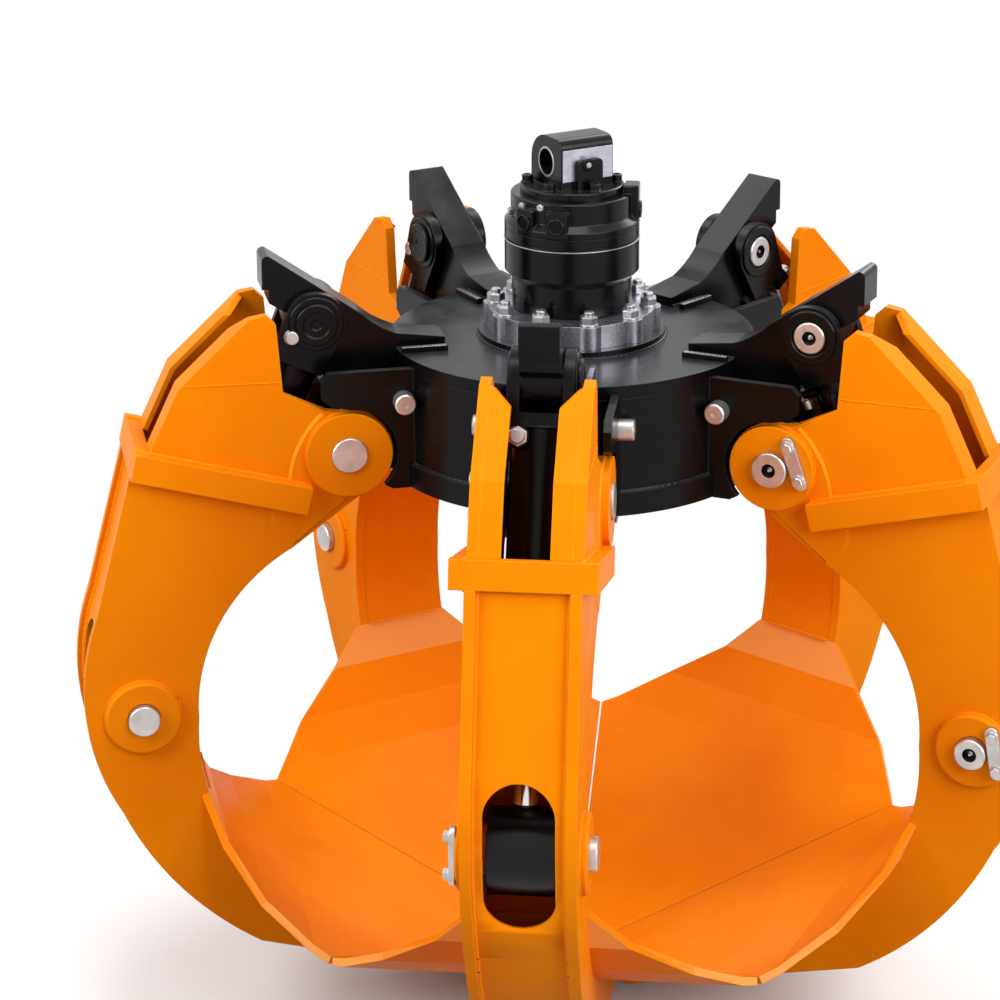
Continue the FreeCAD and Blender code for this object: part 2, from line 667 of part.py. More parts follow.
def cheek():
    collar_top, collar_low = collar_inner_face()
    throat_start = from_pivot(THROAT_START)
    touch = tangent_angle(throat_start, PIVOT, PIVOT_BOSS_R, -1)
    boss_middle = (touch + BOSS_TOP_ANGLE - FULL_TURN) / 2
    throat_start, throat_curve, throat_low = throat_path()
    back = back_path()
    under = leaf_underside()
    spine_top = (SPINE_END_OUT, underside_at(SPINE_END_OUT))
    edge = [from_pivot(pair) for pair in EAR_EDGE]
    ear_back = [from_pivot(pair) for pair in EAR_BACK]
    leaf_edge = [under[3], under[2], under[1], under[0], from_lower(LEAF_FOLDS[0])]
    throat_back = [(throat_low[0], throat_curve[1]), (throat_curve[0], throat_start)]
    outline = path(
        from_pivot(EAR_TIP), *edge, collar_top, collar_low, *back, spine_top, *leaf_edge, *throat_back,
        on_circle(PIVOT, PIVOT_BOSS_R, touch),
        (on_circle(PIVOT, PIVOT_BOSS_R, boss_middle), on_circle(PIVOT, PIVOT_BOSS_R, BOSS_TOP_ANGLE)),
        *reversed(ear_back), from_pivot(EAR_TIP))
    plate = slab(outline, CHEEK_INNER, CHEEK_OUTER)
    pivot_boss = pin(PIVOT_BOSS_R, PIVOT, CHEEK_OUTER, CHEEK_OUTER + PIVOT_BOSS)
    return plate.fuse(pivot_boss).cut([
        pin(PIVOT_PIN_R, PIVOT, CHEEK_INNER, CHEEK_OUTER + PIVOT_BOSS),
        pin(LOWER_PIN_R, LOWER, CHEEK_INNER, CHEEK_OUTER)])


def ear_plate():
    collar_top, collar_low = collar_inner_face()
    edge = [from_pivot(pair) for pair in EAR_EDGE]
    wire = path(edge[0], edge[1], collar_top)
    plate = plate_along(wire, 0.0, EAR_PLATE, SLOT_HALF_WIDTH, CHEEK_INNER)
    tip = edge[0][1]
    span = CHEEK_INNER - SLOT_HALF_WIDTH
    notch = Part.Face(Part.makePolygon([
        Vector(0, SLOT_HALF_WIDTH, tip - EAR_NOTCH_DROP), Vector(0, SLOT_HALF_WIDTH + span, tip),
        Vector(0, SLOT_HALF_WIDTH + span, tip + span), Vector(0, SLOT_HALF_WIDTH, tip + span),
        Vector(0, SLOT_HALF_WIDTH, tip - EAR_NOTCH_DROP)]))
    return plate.cut(notch.extrude(Vector(THROUGH, 0, 0)))


def back_plate():
    wire = path(*back_path())
    plate = plate_along(wire, BACK_INSET, BACK_PLATE, -CHEEK_INNER, CHEEK_INNER)
    arch_top = LOWER_PIN_UP + ARCH_ABOVE_PIN
    arch_low = LOWER_PIN_UP - ARCH_BELOW_PIN
    half = ARCH_HALF_WIDTH
    arch = box((LOWER_PIN_OUT, -half, arch_low + half), (LOWER_PIN_OUT + THROUGH, half, arch_top - half))
    for level in (arch_top - half, arch_low + half):
        arch = arch.fuse(Part.makeCylinder(half, THROUGH, Vector(LOWER_PIN_OUT, 0, level), Vector(1, 0, 0)))
    beyond_spine = box((0.0, -CHEEK_OUTER, LOWER_PIN_UP - THROUGH), (SPINE_END_OUT, CHEEK_OUTER, LOWER_PIN_UP))
    return plate.cut([arch, beyond_spine])


def throat_plate():
    start, (upper_via, middle), (lower_via, end) = throat_path()
    wire = path(end, (lower_via, middle), (upper_via, start))
    return plate_along(wire, THROAT_INSET, THROAT_PLATE, -CHEEK_INNER, CHEEK_INNER)


def collar():
    top = from_pivot(COLLAR_OUTER_TOP)
    low = from_pivot(COLLAR_OUTER_LOW)
    inner_top, inner_low = collar_inner_face()
    end_top = from_pivot(COLLAR_INNER_TOP)
    end_low = shift(end_top, low[0] - top[0], low[1] - top[1])
    bar = slab(path(top, low, inner_low, inner_top, top), -COLLAR_HALF_WIDTH, COLLAR_HALF_WIDTH)
    arm = slab(path(top, low, end_low, end_top, top), CHEEK_OUTER, COLLAR_HALF_WIDTH)
    return bar.fuse(both_sides(arm)).removeSplitter()


def nose():
    def section(out, half, depth):
        top = underside_at(out)
        low = top - depth
        return [Vector(out, -half, top), Vector(out, half, top), Vector(out, half, low), Vector(out, -half, low)]

    return skin([section(SPINE_END_OUT, CHEEK_OUTER, SPINE_END_DEPTH),
                 section(LEAF_END_OUT, NOSE_END_HALF_WIDTH, NOSE_END_DEPTH)])


def keeper(centre, face, pin_r, lean):
    """A keeper bar beside a pin's end, on the clockwise face of the tine."""
    half = KEEPER_LENGTH / 2
    inner = pin_r + KEEPER_GAP
    bar = box((inner, -face - KEEPER_THICKNESS, -half), (inner + KEEPER_WIDTH, -face, half))
    bar.rotate(Vector(0, 0, 0), Vector(0, 1, 0), lean)
    bar.translate(point(centre))
    return bar


def tine_pins():
    solids = []
    for centre, radius, face, lean in ((PIVOT, PIVOT_PIN_R, CHEEK_OUTER + PIVOT_BOSS, PIVOT_KEEPER_LEAN),
                                       (LOWER, LOWER_PIN_R, CHEEK_OUTER, LOWER_KEEPER_LEAN)):
        solids.append(pin(radius, centre, -face - KEEPER_THICKNESS - PIN_STICKOUT, face + PIN_STICKOUT))
        solids.append(keeper(centre, face, radius, lean))
    return solids


def in_place(solid):
    """Turn a cylinder part from its own axis along X into the line between its pins."""
    solid.rotate(Vector(0, 0, 0), Vector(0, 1, 0), CYLINDER_TILT)
    solid.translate(point(UPPER))
    return solid


def along(radius, start, end):
    return Part.makeCylinder(radius, end - start, Vector(start, 0, 0), Vector(1, 0, 0))


def cylinder_barrel():
    ear_outer = FORK_GAP_HALF + FORK_EAR
    deep = FORK_HALF_DEPTH
    taper = BARREL_START - FORK_TAPER
    ear_outline = path((0.0, FORK_EYE_R), (taper, deep), (BARREL_START, deep), (BARREL_START, -deep),
                       (taper, -deep), (0.0, -FORK_EYE_R), ((-FORK_EYE_R, 0.0), (0.0, FORK_EYE_R)))
    ears = slab(ear_outline, -ear_outer, ear_outer)
    slot = box((-FORK_EYE_R, -FORK_GAP_HALF, -FORK_EYE_R), (FORK_ROOT, FORK_GAP_HALF, FORK_EYE_R))
    tube = along(BARREL_R, BARREL_START, BARREL_END + GLAND_COLLAR)
    body = ears.cut(slot).fuse(tube)
    bore = along(BARREL_BORE_R, BARREL_START + BARREL_FLOOR, BARREL_END - GLAND_PLUG)
    rod_bore = along(ROD_R + RUNNING, BARREL_START + BARREL_FLOOR, BARREL_END + GLAND_COLLAR)
    eye = pin(UPPER_PIN_R + RUNNING, (0.0, 0.0), -ear_outer, ear_outer)
    return in_place(body.cut([bore, rod_bore, eye]).removeSplitter())


def piston_end():
    return BARREL_END - GLAND_PLUG - PISTON_FROM_GLAND


def cylinder_rod():
    shoulder = piston_end()
    piston = along(BARREL_BORE_R - RUNNING, shoulder - PISTON_LENGTH, shoulder)
    stem = along(ROD_R, shoulder, CYLINDER_REST - OPEN_PIVOT - LOWER_PIN_R)
    eye = pin(ROD_EYE_R, (CYLINDER_REST, 0.0), -ROD_EYE_HALF_WIDTH, ROD_EYE_HALF_WIDTH)
    bore = pin(LOWER_PIN_R + OPEN_PIVOT, (CYLINDER_REST, 0.0), -ROD_EYE_HALF_WIDTH, ROD_EYE_HALF_WIDTH)
    return in_place(piston.fuse([stem, eye]).cut(bore).removeSplitter())


def save_rotator():
    save("suspension_eye", [suspension_eye()])
    save("head_bolts", head_bolts())
    save("rotator_head", [rotator_head()])
    save("port_fittings", port_fittings())
    save("rotator_stator", [rotator_stator()])
    save("rotor_shaft", [rotor_shaft()])
    save("rotor_vanes", rotor_vanes())


def save_hub():
    save("adapter_ring", [adapter_ring()])
    save("flange_nuts", flange_nuts())
    save("hub_top_plate", [hub_top_plate()])
    save("hub_shell", [hub_shell()])
    save("hub_bottom_plate", [hub_bottom_plate()])
    save("oil_manifold", [oil_manifold()])
    groups = {
        "bracket_lugs": bracket_lug(),
        "bracket_sides": both_sides(bracket_side()),
        "upper_pins": [upper_pin()],
        "stop_pins": both_sides(stop_pin()),
    }
    for name, solids in groups.items():
        copies = []
        for number in range(1, TINE_COUNT + 1):
            copies += [turned(solid, tine_angle(number)) for solid in solids]
        save(name, copies)


def save_tines():
    groups = {
        "tine_{}_cheeks": both_sides(cheek()),
        "tine_{}_box_plates": both_sides(ear_plate()) + [back_plate(), throat_plate(), collar()],
        "tine_{}_leaf": [leaf(), nose()],
        "tine_{}_pins": tine_pins(),
        "cylinder_{}_barrel": [cylinder_barrel()],
        "cylinder_{}_rod": [cylinder_rod()],
    }
    for number in range(1, TINE_COUNT + 1):
        for name, solids in groups.items():
            save(name.format(number), [turned(solid, tine_angle(number)) for solid in solids])


os.makedirs("parts", exist_ok=True)
save_rotator()
save_hub()
save_tines()
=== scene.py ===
import json
import math

import bpy
from mathutils import Matrix, Vector


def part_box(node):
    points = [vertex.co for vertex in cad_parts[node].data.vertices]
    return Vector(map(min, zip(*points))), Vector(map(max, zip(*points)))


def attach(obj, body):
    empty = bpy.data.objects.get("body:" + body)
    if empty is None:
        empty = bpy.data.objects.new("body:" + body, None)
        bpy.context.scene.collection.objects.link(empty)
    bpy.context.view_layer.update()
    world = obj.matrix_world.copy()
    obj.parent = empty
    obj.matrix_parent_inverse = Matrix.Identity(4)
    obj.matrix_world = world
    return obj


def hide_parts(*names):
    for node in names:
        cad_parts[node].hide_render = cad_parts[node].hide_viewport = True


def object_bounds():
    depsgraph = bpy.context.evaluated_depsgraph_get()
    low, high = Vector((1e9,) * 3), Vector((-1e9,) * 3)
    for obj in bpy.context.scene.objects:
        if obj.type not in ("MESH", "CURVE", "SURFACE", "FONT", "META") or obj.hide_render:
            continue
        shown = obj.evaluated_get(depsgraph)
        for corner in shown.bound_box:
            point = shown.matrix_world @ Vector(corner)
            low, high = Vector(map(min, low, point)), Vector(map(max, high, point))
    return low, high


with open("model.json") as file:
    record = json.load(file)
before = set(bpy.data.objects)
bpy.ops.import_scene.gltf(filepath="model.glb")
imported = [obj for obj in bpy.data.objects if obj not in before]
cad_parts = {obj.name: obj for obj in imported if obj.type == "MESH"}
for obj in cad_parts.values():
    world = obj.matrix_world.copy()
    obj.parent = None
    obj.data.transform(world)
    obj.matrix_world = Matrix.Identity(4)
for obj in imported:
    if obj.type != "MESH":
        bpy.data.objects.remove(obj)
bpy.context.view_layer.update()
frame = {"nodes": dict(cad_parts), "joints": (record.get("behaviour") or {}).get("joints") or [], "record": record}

# Places from the frame. A tine is drawn in its own plane: X points out from the hub's axis,
# Y runs anticlockwise seen from above, and a pair is (out, up), in metres.
JOINTS = {joint["name"]: joint for joint in frame["joints"]}
TINES = range(1, 1 + sum(name.endswith("_pivot") for name in JOINTS))
UP = Vector((0, 0, 1))


def joint_place(name):
    place = Vector(JOINTS[name]["pos_m"])
    return (place.xy.length, place.z)


def tine_angle(number):
    axis = JOINTS["tine_%d_pivot" % number]["axis"]
    return math.atan2(axis[0], -axis[1])


def tine_matrix(number):
    return Matrix.Rotation(tine_angle(number), 4, "Z")


def shifted(x, y, z):
    return Matrix.Translation((x, y, z))


def turned(axis, degrees):
    return Matrix.Rotation(math.radians(degrees), 4, axis)


# Turns that lay a shape drawn about Z along another axis
ALONG_X = turned("Y", 90)
AGAINST_X = turned("Y", -90)
ALONG_Y = turned("X", -90)
AGAINST_Y = turned("X", 90)
UPSIDE_DOWN = turned("Y", 180)

# Stands a flat shape on its edge: its x, y and z become y, z and x
STANDING = Matrix(((0, 0, 1, 0), (1, 0, 0, 0), (0, 1, 0, 0), (0, 0, 0, 1)))

PIVOT = joint_place("tine_1_pivot")
UPPER = joint_place("cylinder_1_swing")
LOWER = (0.851, -1.016)
STOP = (0.348, -0.418)
ROD_EYE_R = 0.076

# The parts' faces that the details sit on
CHEEK_FACE = 0.100
CHEEK_INSIDE = 0.080
PIVOT_FACE = 0.116
PIVOT_BOSS_R = 0.081
PIVOT_PIN_R = 0.034
LOWER_PIN_R = 0.030
UPPER_PIN_R = 0.030
EAR_FACE = 0.058
SIDE_PLATE_INSIDE = 0.103
SIDE_PLATE_FACE = 0.118
HUB_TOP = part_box("hub_top_plate")[1].z
HUB_R = 0.348
HUB_RING_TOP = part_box("hub_bottom_plate")[1].z
FLANGE_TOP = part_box("flange_nuts")[0].z
EYE_FOOT_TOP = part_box("head_bolts")[0].z
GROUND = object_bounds()[0].z - 0.03

# Paints and metals, as linear colours
ORANGE = (0.87, 0.240, 0.0014)
ORANGE_DEEP = (0.84, 0.212, 0.0014)
LEAF_ORANGE = (0.86, 0.212, 0.0014)
LEAF_ORANGE_DEEP = (0.82, 0.182, 0.0014)
# The leaf's steeper facets are mixed towards this paler colour: a painted sheen.
LEAF_PAINTED_SHEEN = (0.90, 0.35, 0.080)
# A lighter orange for the strip on the doubler's upper bevel: a painted highlight.
BEVEL_HIGHLIGHT_ORANGE = (1.0, 0.37, 0.018)
# Edges of the orange paint are mixed towards this lighter colour: a painted highlight.
ORANGE_EDGE_HIGHLIGHT = (1.0, 0.46, 0.03)
BLACK = (0.0020, 0.0017, 0.0019)
# Lighter grey for what faces up, in spots: partly real dusting, partly a painted sheen.
BLACK_DUST_AND_SHEEN = (0.046, 0.050, 0.053)
FLANGE_GREY = (0.36, 0.345, 0.40)
MACHINED = (0.54, 0.52, 0.60)
ZINC = (0.60, 0.57, 0.55)
STEEL = (0.42, 0.42, 0.43)
CHROME = (0.78, 0.79, 0.80)

# Ranges that the finishes map noises and masks from and to
FULL = (0.0, 1.0)
REVERSED = (1.0, 0.0)
NOISE_MIDDLE = (0.35, 0.65)
NOISE_MOST = (0.3, 0.7)
EDGE_TURN = (0.97, 0.80)
STEEP_NORMAL = (0.40, 0.60)
NOISE_ROUGHNESS = 0.55
BEVEL_SAMPLES = 4
PEEL_HEIGHT = 0.0006


def principled(name):
    material = bpy.data.materials.new(name)
    material.use_nodes = True
    nodes, links = material.node_tree.nodes, material.node_tree.links
    return material, nodes, links, nodes["Principled BSDF"]


def feed(links, node, settings):
    """Give a node's inputs their values, or links where a value comes from another node."""
    for name, value in settings.items():
        if isinstance(value, bpy.types.NodeSocket):
            links.new(value, node.inputs[name])
        else:
            node.inputs[name].default_value = value


def noise(nodes, links, scale, detail=3.0):
    place = nodes.new("ShaderNodeTexCoord")
    texture = nodes.new("ShaderNodeTexNoise")
    feed(links, texture, {"Scale": scale, "Detail": detail, "Roughness": NOISE_ROUGHNESS,
                          "Vector": place.outputs["Object"]})
    return texture.outputs["Fac"]


def spread(nodes, links, value, between, onto):
    """Map a value from one range to another, held at its ends."""
    node = nodes.new("ShaderNodeMapRange")
    names = ("Value", "From Min", "From Max", "To Min", "To Max")
    feed(links, node, dict(zip(names, (value,) + between + onto)))
    return node.outputs["Result"]


def varied(value, steps):
    """The range from a value plus one step to the value plus the other."""
    return tuple(value + step for step in steps)


def mixed(nodes, links, factor, first, second):
    node = nodes.new("ShaderNodeMix")
    node.data_type = "RGBA"
    first, second = (value + (1.0,) if isinstance(value, tuple) else value for value in (first, second))
    feed(links, node, {"Factor": factor, "A": first, "B": second})
    return node.outputs["Result"]


def times(nodes, links, first, second):
    """A value times a number or another value."""
    node = nodes.new("ShaderNodeMath")
    node.operation = "MULTIPLY"
    feed(links, node, {0: first, 1: second})
    return node.outputs["Value"]


def distance_from(nodes, links, place, spot):
    reach = nodes.new("ShaderNodeVectorMath")
    reach.operation = "DISTANCE"
    feed(links, reach, {0: place, 1: spot})
    return reach.outputs["Value"]


def upward_part(nodes, links, direction):
    split = nodes.new("ShaderNodeSeparateXYZ")
    links.new(direction, split.inputs["Vector"])
    return split.outputs["Z"]


def edge_normal(nodes, radius):
    bevel = nodes.new("ShaderNodeBevel")
    bevel.samples = BEVEL_SAMPLES
    bevel.inputs["Radius"].default_value = radius
    return bevel.outputs["Normal"]


def edge_highlight_mask(nodes, links, normal):
    """1 on a rounded edge and 0 on a flat face: where a painted highlight goes."""
    geometry = nodes.new("ShaderNodeNewGeometry")
    dot = nodes.new("ShaderNodeVectorMath")
    dot.operation = "DOT_PRODUCT"
    feed(links, dot, {0: normal, 1: geometry.outputs["Normal"]})
    return spread(nodes, links, dot.outputs["Value"], EDGE_TURN, FULL)


def bumped(nodes, links, height, strength, distance, normal):
    bump = nodes.new("ShaderNodeBump")
    feed(links, bump, {"Strength": strength, "Distance": distance, "Height": height, "Normal": normal})
    return bump.outputs["Normal"]


def steep(nodes, links):
    """1 on the leaf's steeper facets and 0 on those that lie flatter, at every pose; it places a painted sheen."""
    place = nodes.new("ShaderNodeTexCoord")
    size = nodes.new("ShaderNodeMath")
    size.operation = "ABSOLUTE"
    links.new(upward_part(nodes, links, place.outputs["Normal"]), size.inputs[0])
    return spread(nodes, links, size.outputs["Value"], STEEP_NORMAL, REVERSED)


ORANGE_CLOUDS = 5.0
ORANGE_GRAIN = 260.0
ORANGE_PEEL = 0.25
ORANGE_EDGE_R = 0.0030
ORANGE_HIGHLIGHT_SHARE = 0.7
ORANGE_ROUGHNESS = (0.34, 0.44)
ORANGE_GLOSS = 0.035


def orange_paint(name, light, deep, pale=None):
    """Orange paint with painted highlights on its edges; pale is the colour of a painted sheen on a leaf's steeper
    facets.
    """
    material, nodes, links, shader = principled(name)
    clouds = noise(nodes, links, ORANGE_CLOUDS)
    peel = noise(nodes, links, ORANGE_GRAIN, detail=2.0)
    rounded = edge_normal(nodes, ORANGE_EDGE_R)
    base = mixed(nodes, links, spread(nodes, links, clouds, NOISE_MIDDLE, FULL), light, deep)
    # Painted sheen: a leaf's steeper facets are mixed towards a paler colour.
    if pale:
        base = mixed(nodes, links, steep(nodes, links), base, pale)
    # Painted highlight: rounded edges are mixed towards a lighter orange.
    mask = times(nodes, links, edge_highlight_mask(nodes, links, rounded), ORANGE_HIGHLIGHT_SHARE)
    feed(links, shader, {
        "Base Color": mixed(nodes, links, mask, base, ORANGE_EDGE_HIGHLIGHT),
        "Roughness": spread(nodes, links, clouds, NOISE_MOST, ORANGE_ROUGHNESS),
        "Normal": bumped(nodes, links, peel, ORANGE_PEEL, PEEL_HEIGHT, rounded),
        "Specular IOR Level": ORANGE_GLOSS,
    })
    return material


BLACK_CLOUDS = 9.0
BLACK_PEEL = 0.3
BLACK_EDGE_R = 0.0025
BLACK_VARIES = (-0.05, 0.07)
DUST_AND_SHEEN_NORMAL = (0.4, 1.0)
DUST_AND_SHEEN_NOISE = (0.35, 0.7)
DUST_AND_SHEEN_SPOTS = (0.2, 1.0)


def black_paint(name, roughness, grain, dust_and_sheen, gloss):
    """Black paint, lighter grey in spots on what faces up: partly a real dusting, partly a painted sheen."""
    material, nodes, links, shader = principled(name)
    geometry = nodes.new("ShaderNodeNewGeometry")
    clouds = noise(nodes, links, BLACK_CLOUDS)
    rounded = edge_normal(nodes, BLACK_EDGE_R)
    facing_up = upward_part(nodes, links, geometry.outputs["Normal"])
    # What faces up turns lighter grey in spots: partly dusting, partly a painted sheen.
    lying = spread(nodes, links, facing_up, DUST_AND_SHEEN_NORMAL, (0.0, dust_and_sheen))
    spots = times(nodes, links, lying, spread(nodes, links, clouds, DUST_AND_SHEEN_NOISE, DUST_AND_SHEEN_SPOTS))
    peel = noise(nodes, links, grain, detail=2.0)
    feed(links, shader, {
        "Base Color": mixed(nodes, links, spots, BLACK, BLACK_DUST_AND_SHEEN),
        "Roughness": spread(nodes, links, clouds, NOISE_MOST, varied(roughness, BLACK_VARIES)),
        "Normal": bumped(nodes, links, peel, BLACK_PEEL, PEEL_HEIGHT, rounded),
        "Specular IOR Level": gloss,
    })
    return material


def place_on_tine(nodes, links):
    """The distance out from the hub's axis and the height, whichever tine it is."""
    place = nodes.new("ShaderNodeTexCoord")
    flat = nodes.new("ShaderNodeVectorMath")
    flat.operation = "MULTIPLY"
    feed(links, flat, {0: place.outputs["Object"], 1: (1.0, 1.0, 0.0)})
    out = nodes.new("ShaderNodeVectorMath")
    out.operation = "LENGTH"
    links.new(flat.outputs["Vector"], out.inputs[0])
    pair = nodes.new("ShaderNodeCombineXYZ")
    feed(links, pair, {"X": out.outputs["Value"], "Z": upward_part(nodes, links, place.outputs["Object"])})
    return pair.outputs["Vector"]


ROD_RUBBING = 60.0
ROD_POLISH = (0.08, 0.16)
ROD_DULL = (0.26, 0.36)
ROD_EDGE_R = 0.003
ROD_GLOSS = 0.25
EYE_PAINT_ENDS = (ROD_EYE_R + 0.0045, ROD_EYE_R + 0.0055)


def rod_finish():
    """Hard chrome on the rod, and black paint on the eye welded to its end."""
    material, nodes, links, shader = principled("chrome_rod")
    reach = distance_from(nodes, links, place_on_tine(nodes, links), (LOWER[0], 0.0, LOWER[1]))
    eye = spread(nodes, links, reach, EYE_PAINT_ENDS, REVERSED)
    rubbed = noise(nodes, links, ROD_RUBBING, detail=4.0)
    choice = nodes.new("ShaderNodeMix")
    feed(links, choice, {
        "Factor": eye,
        "A": spread(nodes, links, rubbed, NOISE_MOST, ROD_POLISH),
        "B": spread(nodes, links, rubbed, NOISE_MOST, ROD_DULL),
    })
    feed(links, shader, {
        "Base Color": mixed(nodes, links, eye, CHROME, BLACK),
        "Metallic": spread(nodes, links, eye, FULL, REVERSED),
        "Roughness": choice.outputs["Result"],
        "Normal": edge_normal(nodes, ROD_EDGE_R),
        "Specular IOR Level": ROD_GLOSS,
    })
    return material


METAL_STREAKS = 240.0
METAL_STREAK_DEPTH = 0.15
METAL_STREAK_HEIGHT = 0.0003
METAL_CLOUDS = 30.0
METAL_EDGE_R = 0.0015
METAL_VARIES = (-0.05, 0.10)
METAL_DARKER = 0.78
METAL_SHARE = 0.9


def bare_metal(name, colour, roughness):
    material, nodes, links, shader = principled(name)
    streaks = noise(nodes, links, METAL_STREAKS, detail=4.0)
    clouds = noise(nodes, links, METAL_CLOUDS)
    rounded = edge_normal(nodes, METAL_EDGE_R)
    darker = tuple(METAL_DARKER * part for part in colour)
    feed(links, shader, {
        "Base Color": mixed(nodes, links, spread(nodes, links, clouds, NOISE_MIDDLE, FULL), colour, darker),
        "Roughness": spread(nodes, links, streaks, NOISE_MOST, varied(roughness, METAL_VARIES)),
        "Normal": bumped(nodes, links, streaks, METAL_STREAK_DEPTH, METAL_STREAK_HEIGHT, rounded),
        "Metallic": METAL_SHARE,
    })
    return material


MATERIALS = {
    "tine_orange": orange_paint("orange_paint", ORANGE, ORANGE_DEEP),
    # A lighter orange for the doubler's bevel strip: a painted highlight.
    "bevel": orange_paint("bevel_highlight_paint", BEVEL_HIGHLIGHT_ORANGE, ORANGE),
    "leaf": orange_paint("leaf_paint", LEAF_ORANGE, LEAF_ORANGE_DEEP, LEAF_PAINTED_SHEEN),
    "hub_black": black_paint("hub_black", roughness=0.24, grain=220.0, dust_and_sheen=0.8, gloss=0.15),
    "rotator_black": black_paint("rotator_black", roughness=0.20, grain=420.0, dust_and_sheen=0.3, gloss=0.20),
    "zinc": bare_metal("zinc", ZINC, roughness=0.34),
    "steel": bare_metal("steel", STEEL, roughness=0.30),
    "chrome_rod": rod_finish(),
    "flange": bare_metal("flange_finish", FLANGE_GREY, roughness=0.26),
    "machined": bare_metal("machined_face", MACHINED, roughness=0.30),
}


def give_materials():
    slots = {entry["node"]: entry["material_slot"] for entry in frame["record"]["subparts"]}
    slots["rotor_shaft"] = "flange"
    slots.update({"tine_%d_leaf" % number: "leaf" for number in TINES})
    for node, shown in frame["nodes"].items():
        shown.data.materials.clear()
        shown.data.materials.append(MATERIALS[slots[node]])


# How many sides round shapes have
SMALL_SIDES = 32
SIDES = 48
LARGE_SIDES = 64
LARGEST_SIDES = 96


def part_circle(centre, radius, start, sweep, count):
    """Pairs along a part of a circle, from a starting angle over a sweep, in degrees."""
    angles = [math.radians(start + sweep * step / count) for step in range(count + 1)]
    return [(centre[0] + radius * math.cos(angle), centre[1] + radius * math.sin(angle)) for angle in angles]


def ring_points(radius, count, centre=(0.0, 0.0)):
    """Pairs at equal steps round a whole circle."""
    return part_circle(centre, radius, 0, 360, count)[:-1]


def arc(start, via, end, count):
    """Pairs on the circle through three pairs, from start to end, over less than half a circle."""
    (ax, ay), (bx, by), (cx, cy) = start, via, end
    a, b, c = (x * x + y * y for x, y in (start, via, end))
    double = 2 * (ax * (by - cy) + bx * (cy - ay) + cx * (ay - by))
    centre = ((a * (by - cy) + b * (cy - ay) + c * (ay - by)) / double,
              (a * (cx - bx) + b * (ax - cx) + c * (bx - ax)) / double)
    first, last = (math.degrees(math.atan2(y - centre[1], x - centre[0])) for x, y in (start, end))
    sweep = (last - first + 180) % 360 - 180
    return part_circle(centre, math.hypot(ax - centre[0], ay - centre[1]), first, sweep, count)


def raised(pairs, y):
    return [Vector((out, y, up)) for out, up in pairs]


def inset(pairs, distance):
    """A line moved sideways, to the right of its way."""
    made = []
    for i, pair in enumerate(pairs):
        before = Vector(pairs[max(i - 1, 0)])
        after = Vector(pairs[min(i + 1, len(pairs) - 1)])
        along = (after - before).normalized()
        made.append((pair[0] + along.y * distance, pair[1] - along.x * distance))
    return made


def lathe(profile, segments=SIDES):
    """A shape turned about Z from (radius, height) pairs; a radius of 0 closes an end."""
    vertices = []
    faces = []
    rings = []
    for radius, height in profile:
        spots = ring_points(radius, segments) if radius else [(0, 0)]
        rings.append(range(len(vertices), len(vertices) + len(spots)))
        vertices += [Vector((x, y, height)) for x, y in spots]
    for low, high in zip(rings[:-1], rings[1:]):
        for step in range(segments):
            corner = [low[step % len(low)], low[(step + 1) % len(low)],
                      high[(step + 1) % len(high)], high[step % len(high)]]
            faces.append(tuple(dict.fromkeys(corner)))
    return vertices, faces


def prism(outline, low, high, chamfer=0.0):
    """A plate from a closed (x, y) outline, with its upper edge drawn in by chamfer."""
    count = len(outline)
    centre = sum((Vector(pair) for pair in outline), Vector((0, 0))) / count
    levels = [(low, 0.0), (high - chamfer, 0.0), (high, chamfer)] if chamfer else [(low, 0.0), (high, 0.0)]
    vertices = []
    for height, margin in levels:
        for pair in outline:
            spot = Vector(pair)
            spot -= (spot - centre).normalized() * margin
            vertices.append(Vector((spot.x, spot.y, height)))
    faces = [tuple(reversed(range(count)))]
    for base in range(0, len(vertices) - count, count):
        for step in range(count):
            after = (step + 1) % count
            faces.append((base + step, base + after, base + count + after, base + count + step))
    faces.append(tuple(range(len(vertices) - count, len(vertices))))
    return vertices, faces


def swept(lines):
    """A closed strip between lines that have the same number of points."""
    count = len(lines[0])
    starts = [count * line for line in range(len(lines))]
    faces = [tuple(reversed(starts)), tuple(start + count - 1 for start in starts)]
    for low, high in zip(starts, starts[1:] + starts[:1]):
        faces += [(low + step, low + step + 1, high + step + 1, high + step) for step in range(count - 1)]
    return sum(lines, []), faces


def resampled(points, step, closed):
    points = [Vector(spot) for spot in points]
    if closed:
        points.append(points[0])
    path = [points[0]]
    for start, end in zip(points[:-1], points[1:]):
        parts = max(1, round((end - start).length / step))
        path += [start.lerp(end, part / parts) for part in range(1, parts + 1)]
    return path[:-1] if closed else path


# A bead's steps in radii, its steps to a wave, and how steep a line counts as upright
BEAD_STEP = 0.9
BEAD_WAVE = 4.0
UPRIGHT = 0.9


